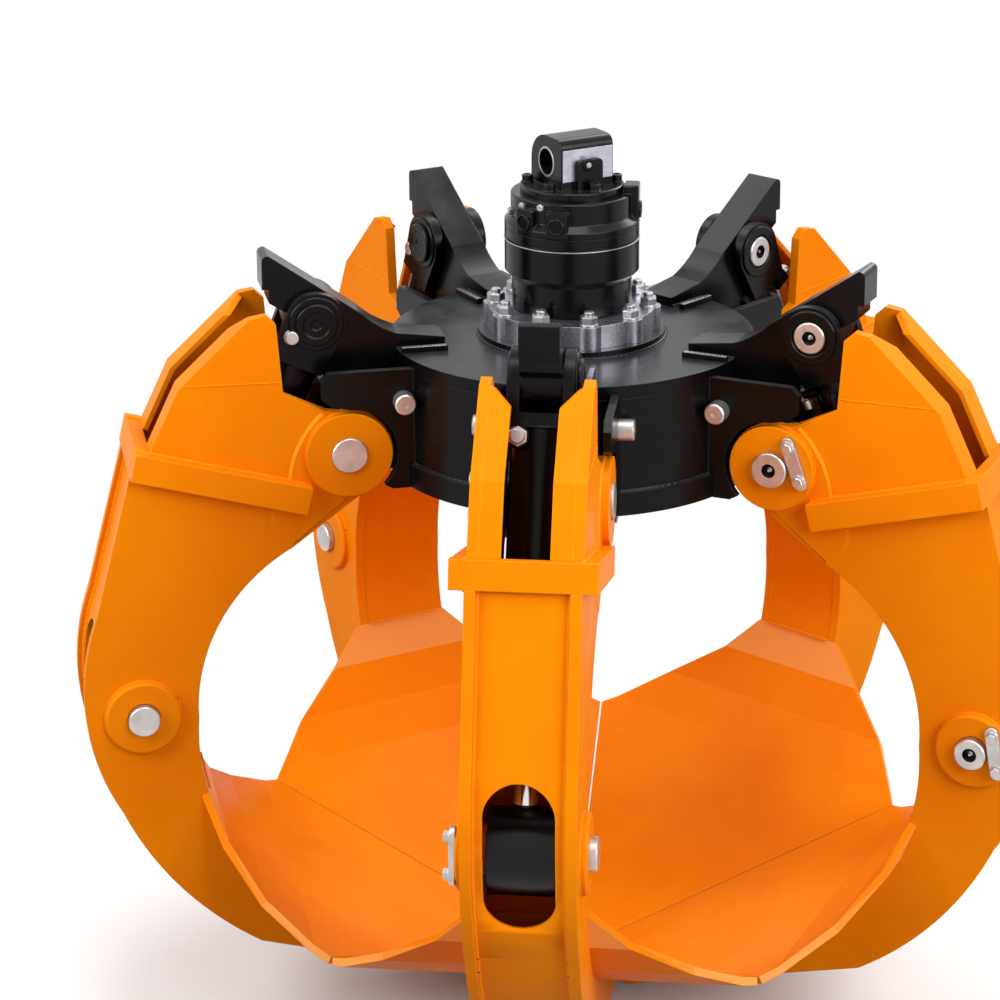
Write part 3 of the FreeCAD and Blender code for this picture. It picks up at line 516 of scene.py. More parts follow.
def bead(points, radius, closed=False, ripple=0.14, sides=8):
    """A weld bead along points, with the small waves of its passes; with no ripple it is a tube."""
    path = resampled(points, radius * BEAD_STEP, closed)
    vertices = []
    faces = []
    count = len(path)
    for i, spot in enumerate(path):
        before = path[i - 1] if i or closed else spot
        after = path[(i + 1) % count] if i < count - 1 or closed else spot
        along = (after - before).normalized()
        side = along.cross(UP if abs(along.z) < UPRIGHT else Vector((1, 0, 0))).normalized()
        rise = side.cross(along)
        size = radius * (1.0 + ripple * math.sin(i * math.tau / BEAD_WAVE))
        vertices += [spot + (side * x + rise * y) * size for x, y in ring_points(1.0, sides)]
    for i in range(count if closed else count - 1):
        low = i * sides
        high = (i + 1) % count * sides
        for step in range(sides):
            after = (step + 1) % sides
            faces.append((low + step, low + after, high + after, high + step))
    if not closed:
        faces.append(tuple(reversed(range(sides))))
        faces.append(tuple(range(len(vertices) - sides, len(vertices))))
    return vertices, faces


def moved(shape, matrix):
    return [matrix @ vertex for vertex in shape[0]], shape[1]


def joined(*shapes):
    vertices = []
    faces = []
    for some_vertices, some_faces in shapes:
        base = len(vertices)
        vertices += some_vertices
        faces += [tuple(base + index for index in face) for face in some_faces]
    return vertices, faces


def linked(name, data):
    made = bpy.data.objects.new(name, data)
    bpy.context.scene.collection.objects.link(made)
    return made


SHARP = math.radians(35)


def piece(name, shape, slot, body, smooth=True, finish=None):
    """A visible piece; finish names its material where that isn't the slot's own."""
    mesh = bpy.data.meshes.new(name)
    mesh.from_pydata(shape[0], [], shape[1])
    mesh.validate()
    made = linked(name, mesh)
    if smooth:
        mesh.shade_smooth()
        mesh.set_sharp_from_angle(angle=SHARP)
    mesh.materials.append(MATERIALS[finish or slot])
    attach(made, body)
    return made


def at(spot):
    return shifted(spot[0], 0, spot[1])


def on_cheek(spot, y):
    """Stands a shape drawn about Z on a tine's side: out along Y from y, or along -Y if y is negative."""
    return shifted(spot[0], y, spot[1]) @ (ALONG_Y if y > 0 else AGAINST_Y)


# Small shapes: shares of their own height, thickness, radius or width
HEAD_CHAMFER = 0.16
WASHER_CHAMFER = 0.25
RECESS_TAPER = 0.86
UNION_HEXAGON = 0.45
UNION_CAP = 0.42

# Sizes of the same shapes in metres; the nipple's (radius, height) pairs count in its own radius
UNION_CAP_CHAMFER = 0.002
NIPPLE_R = 0.0046
NIPPLE = ((1.0, 0.0), (1.0, 0.7), (0.45, 0.9), (0.42, 1.5), (0.62, 1.9), (0.45, 2.3), (0.0, 2.35))
NIPPLE_SIDES = 16


def hex_head(flats, height):
    return prism(ring_points(flats / math.sqrt(3), 6), 0.0, height, chamfer=height * HEAD_CHAMFER)


def washer(outer, inner, thickness):
    edge = thickness * WASHER_CHAMFER
    return lathe([(inner, 0.0), (outer, 0.0), (outer, thickness - edge), (outer - edge, thickness),
                  (inner, thickness)])


def on_washer(sizes, head):
    return joined(washer(*sizes), moved(head, shifted(0, 0, sizes[2])))


def capped(radius, height, chamfer, hollow=0.0, depth=0.0):
    """A pin's end: a chamfered disc, with a round recess in its middle if hollow is given."""
    profile = [(radius, 0.0), (radius, height - chamfer), (radius - chamfer, height)]
    if hollow:
        profile += [(hollow, height), (hollow * RECESS_TAPER, height - depth), (0.0, height - depth)]
    else:
        profile.append((0.0, height))
    return lathe(profile)


def grease_nipple():
    return lathe([(NIPPLE_R * radius, NIPPLE_R * height) for radius, height in NIPPLE], NIPPLE_SIDES)


def fitting(flats, height):
    """A hydraulic union: a hexagon and a round cap, about Z."""
    step = height * UNION_HEXAGON
    cap = flats * UNION_CAP
    top = height - step
    edge = UNION_CAP_CHAMFER
    round_cap = lathe([(cap, 0.0), (cap, top - edge), (cap - edge, top), (0.0, top)])
    return joined(hex_head(flats, step), moved(round_cap, shifted(0, 0, step)))


# The keeper is (length, width, thickness), and a washer is (outer, inner, thickness)
KEEPER = (0.104, 0.026, 0.010)
KEEPER_CHAMFER = 0.0015
KEEPER_GAP = 0.003
KEEPER_BOLT_FLATS = 0.019
KEEPER_BOLT_HEIGHT = 0.009
KEEPER_BOLT_SPACING = 0.066
KEEPER_WASHER = (KEEPER_BOLT_FLATS * 0.66, 0.004, 0.002)


def rounded_bar(length, width, thickness, chamfer):
    half = length / 2 - width / 2
    outline = []
    for end, start in ((half, -90), (-half, 90)):
        outline += part_circle((end, 0), width / 2, start, 180, 12)
    return prism(outline, 0.0, thickness, chamfer)


def keeper(pin_r, lean):
    """A keeper bar and its bolts, drawn about the pin's axis with the face of the tine at 0."""
    length, width, thickness = KEEPER
    shapes = [rounded_bar(length, width, thickness, KEEPER_CHAMFER)]
    bolt = on_washer(KEEPER_WASHER, hex_head(KEEPER_BOLT_FLATS, KEEPER_BOLT_HEIGHT))
    for end in (-1, 1):
        shapes.append(moved(bolt, shifted(end * KEEPER_BOLT_SPACING / 2, 0, thickness)))
    place = turned("Z", lean) @ shifted(pin_r + KEEPER_GAP + width / 2, 0, 0)
    return moved(joined(*shapes), place @ turned("Z", 90))


PIN_END = 0.014
PIN_CHAMFER = 0.002
PIN_RECESS_R = 0.0135
PIN_RECESS_DEPTH = 0.012
PIN_OUT = 0.005
LOWER_PIN_OUT = 0.014
KEEPER_SIDE_OUT = 0.015
PIVOT_KEEPER_LEAN = 20.0
LOWER_KEEPER_LEAN = 10.0
LINING_GAP = 0.0002
LINING_RAISED = 0.0003


def pin_through(radius, low, high, plain_end=True):
    """A pin along Y whose clockwise end has a recess with a grease nipple."""
    foot = shifted(0, low + PIN_END, 0)
    middle = lathe([(radius, 0.0), (radius, high - low - 2 * PIN_END)])
    recessed = capped(radius, PIN_END, PIN_CHAMFER, hollow=PIN_RECESS_R, depth=PIN_RECESS_DEPTH)
    shapes = [moved(middle, foot @ ALONG_Y), moved(recessed, foot @ AGAINST_Y)]
    if plain_end:
        shapes.append(moved(capped(radius, PIN_END, PIN_CHAMFER), shifted(0, high - PIN_END, 0) @ ALONG_Y))
    shapes.append(moved(grease_nipple(), shifted(0, low + PIN_RECESS_DEPTH, 0) @ AGAINST_Y))
    return joined(*shapes)


def recess_shade_lining(low):
    """A black cup inside the recess in a pin's clockwise end: painted shade."""
    bottom = LINING_RAISED - PIN_RECESS_DEPTH
    cup = lathe([(PIN_RECESS_R - LINING_GAP, 0.0), (PIN_RECESS_R * RECESS_TAPER - LINING_GAP, bottom),
                 (0.0, bottom)], SMALL_SIDES)
    return moved(cup, shifted(0, low, 0) @ AGAINST_Y)


LOWER_BOSS_R = 0.0715
LOWER_BOSS = 0.014
LOWER_BORE = LOWER_PIN_R + 0.0005
LOWER_BOSS_PROFILE = ((LOWER_BORE, 0.0), (LOWER_BOSS_R, 0.0), (LOWER_BOSS_R, LOWER_BOSS - 0.0035),
                      (LOWER_BOSS_R - 0.004, LOWER_BOSS), (LOWER_BORE + 0.002, LOWER_BOSS),
                      (LOWER_BORE, LOWER_BOSS - 0.002))
SPACER = 0.018
SPACER_R = 0.044


def tine_pins(number, turn):
    shapes = []
    shade_linings = []
    for spot, radius, face, lean, out in (
            (PIVOT, PIVOT_PIN_R, PIVOT_FACE, PIVOT_KEEPER_LEAN, PIN_OUT),
            (LOWER, LOWER_PIN_R, CHEEK_FACE + LOWER_BOSS, LOWER_KEEPER_LEAN, LOWER_PIN_OUT)):
        shapes.append(moved(pin_through(radius, -face - KEEPER_SIDE_OUT, face + out), at(spot)))
        # A black cup in each pin's recess: painted shade.
        shade_linings.append(moved(recess_shade_lining(-face - KEEPER_SIDE_OUT), at(spot)))
        shapes.append(moved(keeper(radius, lean), on_cheek(spot, -face)))
    made = piece("tine_%d_pins_detail" % number, moved(joined(*shapes), turn), "zinc", "tine_%d" % number)
    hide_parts("tine_%d_pins" % number)
    piece("tine_%d_recesses" % number, moved(joined(*shade_linings), turn), "hub_black", "tine_%d" % number)


def tine_rings(number, turn):
    """The turned bosses welded on round the lower pin, and the spacers inside the cheeks."""
    boss = lathe(LOWER_BOSS_PROFILE, LARGE_SIDES)
    spacer = washer(SPACER_R, LOWER_BORE, SPACER)
    shapes = []
    for side in (-1, 1):
        shapes.append(moved(boss, on_cheek(LOWER, side * CHEEK_FACE)))
        shapes.append(moved(spacer, on_cheek(LOWER, side * (CHEEK_INSIDE - SPACER))))
    piece("tine_%d_bosses" % number, moved(joined(*shapes), turn), "tine_orange", "tine_%d" % number)


ARCH_TOP_ABOVE_PIN = 0.162
ARCH_HALF_WIDTH = 0.0625
ARCH_OUT = (0.90, 1.00)
ARCH_STEPS = 30


def cut_away(target, tool):
    """Take one object's solid out of another's mesh, and delete the tool."""
    change = target.modifiers.new("cut", "BOOLEAN")
    change.operation = "DIFFERENCE"
    change.solver = "EXACT"
    change.object = tool
    bpy.context.view_layer.update()
    made = bpy.data.meshes.new_from_object(target.evaluated_get(bpy.context.evaluated_depsgraph_get()))
    target.modifiers.clear()
    target.data = made
    bpy.data.objects.remove(tool)


def box_plates(number, turn):
    """The tine's box plates, with the arch in the back plate as tall as it is in the photograph."""
    source = frame["nodes"]["tine_%d_box_plates" % number]
    made = linked("tine_%d_box_plates_detail" % number, source.data.copy())
    half = ARCH_HALF_WIDTH
    crown = (0, LOWER[1] + ARCH_TOP_ABOVE_PIN - half)
    outline = [(-half, LOWER[1]), (half, LOWER[1])] + part_circle(crown, half, 0, 180, ARCH_STEPS)
    vertices, faces = moved(prism(outline, *ARCH_OUT), turn @ STANDING)
    mesh = bpy.data.meshes.new("arch")
    mesh.from_pydata(vertices, [], faces)
    cut_away(made, linked("arch", mesh))
    made.data.materials.clear()
    made.data.materials.append(MATERIALS["tine_orange"])
    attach(made, "tine_%d" % number)
    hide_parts("tine_%d_box_plates" % number)


def from_pivot(*pairs):
    return [(pair[0] + PIVOT[0], pair[1] + PIVOT[1]) for pair in pairs]


# The tine's edges, given from the pivot pin
EAR_EDGE = from_pivot((0.179, 0.271), (0.314, 0.144))
EAR_SEAM = from_pivot((0.128, 0.146), (0.306, 0.150))
COLLAR_TOP = from_pivot((0.071, -0.058), (0.397, 0.033))
COLLAR_LOW = from_pivot((0.083, -0.109), (0.409, -0.018))
BACK_BULGE = from_pivot((0.481, -0.296), (0.509, -0.431), (0.447, -0.691))
BACK_BULGE_STEPS = 14
SPINE_CURVE = from_pivot((0.447, -0.691), (0.350, -0.850), (0.190, -0.990))
SPINE_CURVE_STEPS = 10
LEAF_TOP_FOLD = from_pivot((0.279, -0.664))[0]

# The weld beads' radii, how far in from an edge they run, and how deep they sit in a face
BACK_INSET = 0.012
EAR_INSET = 0.011
BOX_WELD = 0.0038
BOX_WELD_SUNK = 0.001
COLLAR_WELD = 0.0035
PIVOT_WELD = 0.0032
LOWER_WELD = 0.0028
EAR_WELD = 0.003
SEAM_WELD = 0.0018
SEAM_WELD_SUNK = 0.0008
FOLD_WELD = 0.0022


def back_line():
    bulge = arc(*BACK_BULGE, BACK_BULGE_STEPS)
    spine = arc(*SPINE_CURVE, SPINE_CURVE_STEPS)
    return [COLLAR_LOW[1]] + bulge + spine[1:]


def tine_welds(number, turn):
    """Fillet welds of the box, the collar and the pivot bosses."""
    beads = []
    back = inset(back_line(), BACK_INSET)
    ear = inset(EAR_EDGE, EAR_INSET)
    for side in (-1, 1):
        face = side * CHEEK_FACE
        beads.append(bead(raised(back, side * (CHEEK_INSIDE - BOX_WELD_SUNK)), BOX_WELD))
        for line in (COLLAR_TOP, COLLAR_LOW):
            beads.append(bead(raised(line, face), COLLAR_WELD))
        for centre, boss_r, radius in ((PIVOT, PIVOT_BOSS_R, PIVOT_WELD), (LOWER, LOWER_BOSS_R, LOWER_WELD)):
            beads.append(bead(raised(ring_points(boss_r, LARGE_SIDES, centre), face), radius, closed=True))
        beads.append(bead(raised(ear, side * CHEEK_INSIDE), EAR_WELD))
        beads.append(bead(raised(EAR_SEAM, side * (CHEEK_FACE - SEAM_WELD_SUNK)), SEAM_WELD))
    fold = [Vector((LEAF_TOP_FOLD[0], y, LEAF_TOP_FOLD[1])) for y in (-CHEEK_INSIDE, CHEEK_INSIDE)]
    beads.append(bead(fold, FOLD_WELD))
    piece("tine_%d_welds" % number, moved(joined(*beads), turn), "tine_orange", "tine_%d" % number)


# The doubler's outer edge as two arcs, and its inner edge as (centre, radius, start, sweep, count)
DOUBLER_UPPER = from_pivot((0.050, 0.083), (0.089, 0.036), (0.116, -0.055))
DOUBLER_LOWER = from_pivot((0.116, -0.055), (0.152, -0.120), (0.107, -0.175))
DOUBLER_STEPS = 14
DOUBLER_INSIDE = (PIVOT, 0.076, -100, 165, 33)
DOUBLER = 0.0022
DOUBLER_BEVEL = 0.007
BEVEL_HIGHLIGHT_RAISED = 0.0003
BEVEL_SUNK = 0.001


def doubler_plate(edge, bevel, inside, face, top):
    """A plate from a cheek's face up to top, between a bevelled outer edge and an inner one."""
    count = len(edge)
    vertices = raised(edge, face) + raised(bevel, top) + raised(inside, top) + raised(inside, face)
    high, inner, low = count, 2 * count, 2 * count + len(inside)
    faces = [(i, i + 1, high + i + 1, high + i) for i in range(count - 1)]
    faces += [(inner + i, inner + i + 1, low + i + 1, low + i) for i in range(len(inside) - 1)]
    faces.append(tuple(range(high, low)))
    faces.append((0, high, low - 1, low + len(inside) - 1))
    faces.append((count - 1, inner - 1, inner, low))
    faces.append(tuple(range(count)) + tuple(range(low, low + len(inside))))
    if top < 0:
        faces = [tuple(reversed(corners)) for corners in faces]
    return vertices, faces


def doubler(number, turn):
    """A thin plate on each cheek, round the pivot boss, whose bevelled edge shows as a curved step; the lighter
    strip on its upper bevel is a painted highlight.
    """
    edge = arc(*DOUBLER_UPPER, DOUBLER_STEPS) + arc(*DOUBLER_LOWER, DOUBLER_STEPS)[1:]
    bevel = inset(edge, DOUBLER_BEVEL)
    inside = part_circle(*DOUBLER_INSIDE)
    upper_edge = edge[:DOUBLER_STEPS + 1]
    upper_bevel = bevel[:DOUBLER_STEPS + 1]
    plates = []
    highlight_strips = []
    for side in (-1, 1):
        face = side * CHEEK_FACE
        top = side * (CHEEK_FACE + DOUBLER)
        plates.append(doubler_plate(edge, bevel, inside, face, top))
        # Each strip on the upper bevel is a painted highlight.
        highlight_strips.append(swept([raised(upper_edge, face - side * BEVEL_SUNK),
                             raised(upper_edge, face + side * BEVEL_HIGHLIGHT_RAISED),
                             raised(upper_bevel, top + side * BEVEL_HIGHLIGHT_RAISED),
                             raised(upper_bevel, top - side * BEVEL_SUNK)]))
    piece("tine_%d_doublers" % number, moved(joined(*plates), turn), "tine_orange", "tine_%d" % number,
          smooth=False)
    # The bevel strips are shown in the lighter paint, a painted highlight.
    piece("tine_%d_doubler_bevels" % number, moved(joined(*highlight_strips), turn), "tine_orange", "tine_%d" % number,
          finish="bevel")


# The cylinder is drawn on its own line along X from the upper pin, with Z outwards
CYLINDER_DIRECTION = Vector(JOINTS["cylinder_1_stroke"]["axis"])
CYLINDER_TILT = math.atan2(-CYLINDER_DIRECTION.z, CYLINDER_DIRECTION.xy.length)
BARREL_R = 0.055
BARREL_START = 0.090
BARREL_END = 0.550
GLAND = 0.030
BARREL_WELD = 0.003
BARREL_WELD_AT = BARREL_START + 0.001
EAR_RING = ((0.033, 0.0), (0.052, 0.0), (0.052, 0.002), (0.050, 0.004), (0.036, 0.004), (0.034, 0.002))
GLAND_RING = ((BARREL_R, 0.0), (BARREL_R + 0.0025, 0.001), (BARREL_R + 0.0025, 0.007), (BARREL_R, 0.008))
GLAND_RING_AT = BARREL_END - GLAND - 0.004
CAP_RING = ((BARREL_R - 0.002, -0.0015), (BARREL_R + 0.0015, 0.0), (BARREL_R + 0.0015, 0.0025),
            (BARREL_R - 0.001, 0.0035))
PORTS_AT = (0.110, 0.500)
PORT_SIDE = -0.036
PORT_FOOT = BARREL_R * 0.6
PORT_BOSS_TOP = 0.062
PORT_BOSS_HEIGHT = PORT_BOSS_TOP - PORT_FOOT
PORT_BOSS = ((0.020, 0.0), (0.020, PORT_BOSS_HEIGHT - 0.002), (0.018, PORT_BOSS_HEIGHT),
             (0.0, PORT_BOSS_HEIGHT))
PORT_UNION = (0.032, 0.016)
BLEED_PORT_AT = 0.096
BLEED_SIDE = -0.035
BLEED_BOSS_TOP = 0.032
BLEED_BOSS = ((0.015, 0.0), (0.015, 0.030), (0.013, BLEED_BOSS_TOP), (0.0, BLEED_BOSS_TOP))
BLEED_UNION = (0.020, 0.034)
TUBE_SIDE = -0.066
TUBE_R = 0.008
TUBE_AT = (0.120, 0.500)
TUBE_BEND = (0.010, 0.020)
EAR_BOLT = (0.040, 0.032)
EAR_BOLT_WASHER = (0.015, 0.005, 0.002)
EAR_BOLT_HEAD = (0.013, 0.008, 0.0015)


def along_x(shape, start):
    return moved(shape, shifted(start, 0, 0) @ ALONG_X)


def barrel_blacks():
    """The rings on the barrel's ears and gland, its weld, its port bosses and its tube."""
    shapes = [moved(lathe(EAR_RING), on_cheek((0, 0), side * EAR_FACE)) for side in (-1, 1)]
    shapes.append(along_x(lathe(GLAND_RING, LARGE_SIDES), GLAND_RING_AT))
    weld = [Vector((BARREL_WELD_AT, y, z)) for y, z in ring_points(BARREL_R, SIDES)]
    shapes.append(bead(weld, BARREL_WELD, closed=True))
    for station in PORTS_AT:
        shapes.append(moved(lathe(PORT_BOSS, SMALL_SIDES), shifted(station, PORT_SIDE, PORT_FOOT)))
    start, end = TUBE_AT
    along, across = TUBE_BEND
    tube = [(start - along, TUBE_SIDE + across, 0.0), (start, TUBE_SIDE, 0.0), (end, TUBE_SIDE, 0.0),
            (end + along, TUBE_SIDE + across, 0.0)]
    shapes.append(bead(tube, TUBE_R, ripple=0.0, sides=16))
    bleed_boss = lathe(BLEED_BOSS, SMALL_SIDES)
    shapes.append(moved(bleed_boss, shifted(BLEED_PORT_AT, BLEED_SIDE, -PORT_FOOT) @ UPSIDE_DOWN))
    return joined(*shapes)


def barrel_zincs():
    """The barrel's unions and the bolt on its ear."""
    shapes = [moved(fitting(*PORT_UNION), shifted(station, PORT_SIDE, PORT_BOSS_TOP)) for station in PORTS_AT]
    shapes.append(moved(along_x(fitting(*BLEED_UNION), BLEED_PORT_AT),
                        shifted(0, BLEED_SIDE, -PORT_FOOT - BLEED_BOSS_TOP)))
    ear_bolt = on_washer(EAR_BOLT_WASHER, capped(*EAR_BOLT_HEAD))
    shapes.append(moved(ear_bolt, on_cheek(EAR_BOLT, EAR_FACE)))
    return joined(*shapes)


def cylinder_details(number, turn):
    body = "barrel_%d" % number
    place = turn @ at(UPPER) @ Matrix.Rotation(CYLINDER_TILT, 4, "Y")
    piece("cylinder_%d_details" % number, moved(barrel_blacks(), place), "hub_black", body)
    piece("cylinder_%d_unions" % number, moved(barrel_zincs(), place), "zinc", body)
    ring = along_x(lathe(CAP_RING, LARGE_SIDES), BARREL_START)
    piece("cylinder_%d_cap_ring" % number, moved(ring, place), "steel", body)


UPPER_PIN_HALF = 0.063
UPPER_HEAD = ((0.0, 0.0), (0.040, 0.0), (0.040, 0.005), (0.038, 0.007), (0.026, 0.007), (0.024, 0.005),
              (0.011, 0.005), (0.009, 0.003), (0.0, 0.003))
UPPER_HEAD_AT = EAR_FACE + 0.0045


def upper_pin_details():
    """The upper pins: a zinc end with a grease nipple one way, a black keeper head the other, and a black cup of
    painted shade in the recess.
    """
    zinc = []
    black = []
    for number in TINES:
        turn = tine_matrix(number)
        pin = pin_through(UPPER_PIN_R, -UPPER_PIN_HALF, UPPER_PIN_HALF, plain_end=False)
        zinc.append(moved(pin, turn @ at(UPPER)))
        # A black cup in the pin's recess: painted shade.
        black.append(moved(recess_shade_lining(-UPPER_PIN_HALF), turn @ at(UPPER)))
        black.append(moved(lathe(UPPER_HEAD), turn @ on_cheek(UPPER, UPPER_HEAD_AT)))
    piece("upper_pin_heads_and_recess_shade", joined(*black), "hub_black", "carrier")
    made = piece("upper_pins_detail", joined(*zinc), "zinc", "carrier")
    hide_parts("upper_pins")


# Capped ends are (radius, height, chamfer, hollow, depth)
STOP_PIN = (0.020, 0.030, 0.0025, 0.0045, 0.004)


def stop_pin_details():
    shapes = []
    for number in TINES:
        for side in (-1, 1):
            place = tine_matrix(number) @ on_cheek(STOP, side * SIDE_PLATE_FACE)
            shapes.append(moved(capped(*STOP_PIN), place))
    made = piece("stop_pins_detail", joined(*shapes), "zinc", "carrier")
    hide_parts("stop_pins")


FLANGE_BOLT_R = 0.146
FLANGE_BOLTS = 10
FLANGE_FIRST_BOLT = math.radians(18)
FLANGE_WASHER = (0.0175, 0.008, 0.003)
FLANGE_NUT = (0.030, 0.015)
FLANGE_NUT_TURN = 0.3
FLANGE_STUD = (0.0095, 0.008, 0.0015)
FLANGE_STUD_AT = 0.018


def flange_nut_details():
    """The flange's nuts, each turned a little further than the last, with washers and studs."""
    shapes = []
    for step in range(FLANGE_BOLTS):
        angle = tine_angle(1) + FLANGE_FIRST_BOLT + math.tau * step / FLANGE_BOLTS
        spot = shifted(FLANGE_BOLT_R * math.cos(angle), FLANGE_BOLT_R * math.sin(angle), FLANGE_TOP)
        twist = Matrix.Rotation(angle + FLANGE_NUT_TURN * step, 4, "Z")
        shapes.append(moved(on_washer(FLANGE_WASHER, moved(hex_head(*FLANGE_NUT), twist)), spot))
        shapes.append(moved(capped(*FLANGE_STUD), spot @ shifted(0, 0, FLANGE_STUD_AT)))
    made = piece("flange_nuts_detail", joined(*shapes), "steel", "carrier")
    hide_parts("flange_nuts")


ADAPTER_R = 0.179
HUB_PLATE = 0.016
HUB_SEAM_SIDES = 128
HUB_WELD = 0.0035
SIDE_PLATE_WELD = 0.003
HORN_WELD = ((0.255, 0.036), (0.346, 0.036))


def hub_welds():
    """Welds round the adapter and the drum, along the horns and down the side plates."""
    beads = []
    for radius, count, height in ((ADAPTER_R, LARGEST_SIDES, HUB_TOP), (HUB_R, HUB_SEAM_SIDES, HUB_RING_TOP)):
        ring = [Vector((x, y, height)) for x, y in ring_points(radius, count)]
        beads.append(bead(ring, HUB_WELD, closed=True))
    for number in TINES:
        turn = tine_matrix(number)
        for side in (-1, 1):
            along = [Vector((out, side * y, HUB_TOP)) for out, y in HORN_WELD]
            beads.append(moved(bead(along, HUB_WELD), turn))
            for y in (SIDE_PLATE_INSIDE, SIDE_PLATE_FACE):
                out = math.sqrt(HUB_R ** 2 - y ** 2)
                down = [Vector((out, side * y, height)) for height in (HUB_RING_TOP, HUB_TOP - HUB_PLATE)]
                beads.append(moved(bead(down, SIDE_PLATE_WELD), turn))
    piece("hub_welds", joined(*beads), "hub_black", "carrier")


TOP_RIB = ((0.256, 0.0570), (0.340, 0.0670))
TOP_RIB_HEIGHT = 0.010
# How far the ribs' bright strips, a painted highlight, reach below and above the top, and their chamfer.
RIB_HIGHLIGHT_LOW = 0.001
RIB_HIGHLIGHT_HIGH = 0.0006
RIB_HIGHLIGHT_CHAMFER = 0.0004


def rib_top_highlights():
    """Bright metal strips on the tops of the ribs on the hub's top plate, a painted highlight."""
    (start, inner), (end, outer) = TOP_RIB
    top = HUB_TOP + TOP_RIB_HEIGHT
    highlight_strips = []
    for number in TINES:
        for side in (-1, 1):
            near, far = sorted((side * inner, side * outer))
            outline = [(start, near), (end, near), (end, far), (start, far)]
            strip = prism(outline, top - RIB_HIGHLIGHT_LOW, top + RIB_HIGHLIGHT_HIGH, chamfer=RIB_HIGHLIGHT_CHAMFER)
            highlight_strips.append(moved(strip, tine_matrix(number)))
    # The bright strips stand in for the highlight on the ribs' tops: a painted highlight.
    piece("hub_rib_top_highlights", joined(*highlight_strips), "steel", "carrier", finish="flange")


# A port block is (azimuth, inner radius, top), and a plug is (azimuth, height)
HEAD_R = 0.116
STATOR_R = 0.128
HEAD_TOP = -0.062
HEAD_LOW = -0.127
HEAD_CONE_LOW = -0.115
HEAD_PROFILE = ((0.0, HEAD_LOW), (STATOR_R - 0.001, HEAD_LOW), (STATOR_R, HEAD_LOW + 0.001),
                (STATOR_R, HEAD_CONE_LOW), (HEAD_R, HEAD_CONE_LOW + 0.012), (HEAD_R, HEAD_TOP - 0.002),
                (HEAD_R - 0.002, HEAD_TOP), (0.0, HEAD_TOP))
PORT_BLOCKS = ((-165.0, 0.0995, -0.076), (-134.0, 0.0995, -0.076), (-36.0, 0.0995, -0.046))
PORT_BLOCK_HALF = 0.021
PORT_BLOCK_EDGE = 0.003
PORT_BLOCK_LOW = HEAD_LOW + 0.002
PORT_HIGHEST = -0.070
PORT_DOWN = 0.026
PORT_SEAT_R = 0.0165
PORT_SEAT = ((PORT_SEAT_R, -0.001), (PORT_SEAT_R, 0.0025), (PORT_SEAT_R - 0.0015, 0.004),
             (PORT_SEAT_R - 0.0035, 0.004), (PORT_SEAT_R - 0.0045, 0.001))
# A black disc inside each port seat: painted shade in the open port.
PORT_SHADE_CUP = ((PORT_SEAT_R - 0.0042, 0.0012), (0.0, 0.0012))
PLUGS = ((-172.0, -0.074), (-150.0, -0.070), (162.0, -0.096))
PLUG_FLATS = 0.013
PLUG_HEIGHT = 0.008
PLUG_FOOT = HEAD_R - 0.001
# A thin steel ring at the joint of head and stator: a painted highlight line.
JOINT_HIGHLIGHT_RING = ((STATOR_R - 0.001, -0.0012), (STATOR_R + 0.0012, -0.0008), (STATOR_R + 0.0012, 0.0008),
              (STATOR_R - 0.001, 0.0012))
JOINT_HIGHLIGHT_RING_AT = -0.151


def port_block(inner, top):
    half, edge = PORT_BLOCK_HALF, PORT_BLOCK_EDGE
    outline = [(inner, -half), (STATOR_R - edge, -half), (STATOR_R, edge - half),
               (STATOR_R, half - edge), (STATOR_R - edge, half), (inner, half)]
    return prism(outline, PORT_BLOCK_LOW, top, chamfer=edge)


def rotator_head():
    """The head, its port blocks where the photograph shows them, and the open ports' seats, with a black disc of
    painted shade in each.
    """
    shapes = [lathe(HEAD_PROFILE, LARGEST_SIDES)]
    seats = []
    cups = []
    for azimuth, inner, top in PORT_BLOCKS:
        turn = turned("Z", azimuth)
        shapes.append(moved(port_block(inner, top), turn))
        face = turn @ shifted(STATOR_R, 0, min(top, PORT_HIGHEST) - PORT_DOWN) @ ALONG_X
        seats.append(moved(lathe(PORT_SEAT, SMALL_SIDES), face))
        cups.append(moved(lathe(PORT_SHADE_CUP, SMALL_SIDES), face))
    made = piece("rotator_head_detail", joined(*shapes), "rotator_black", "rotator")
    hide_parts("rotator_head")
    # Black discs in the ports: painted shade.
    piece("port_shade_cups", joined(*cups), "hub_black", "rotator")
    seat_rings = piece("port_seats", joined(*seats), "rotator_black", "rotator")
    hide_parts("port_fittings")
    plugs = []
    for azimuth, height in PLUGS:
        side = turned("Z", azimuth) @ shifted(PLUG_FOOT, 0, height)
        plugs.append(moved(hex_head(PLUG_FLATS, PLUG_HEIGHT), side @ ALONG_X))
    # The steel ring at the joint is a painted highlight line.
    plugs.append(moved(lathe(JOINT_HIGHLIGHT_RING, LARGEST_SIDES), shifted(0, 0, JOINT_HIGHLIGHT_RING_AT)))
    piece("rotator_plugs_and_joint_highlight", joined(*plugs), "steel", "rotator")


def pierced(outline, hole, low, high):
    """A plate from an outline about a round hole at 0, 0; the outline has its points at equal steps."""
    count = len(outline)
    rim = [tuple(Vector(pair).normalized() * hole) for pair in outline]
    vertices = [Vector((x, y, height)) for line in (outline, rim) for height in (low, high) for x, y in line]
    faces = []
    for step in range(count):
        after = (step + 1) % count
        faces.append((step, after, count + after, count + step))
        faces.append((2 * count + after, 2 * count + step, 3 * count + step, 3 * count + after))
        faces.append((count + step, count + after, 3 * count + after, 3 * count + step))
        faces.append((after, step, 2 * count + step, 2 * count + after))
    return vertices, faces


EYE_RAYS = 120
PARALLEL = 1e-12
SLACK = 1e-9


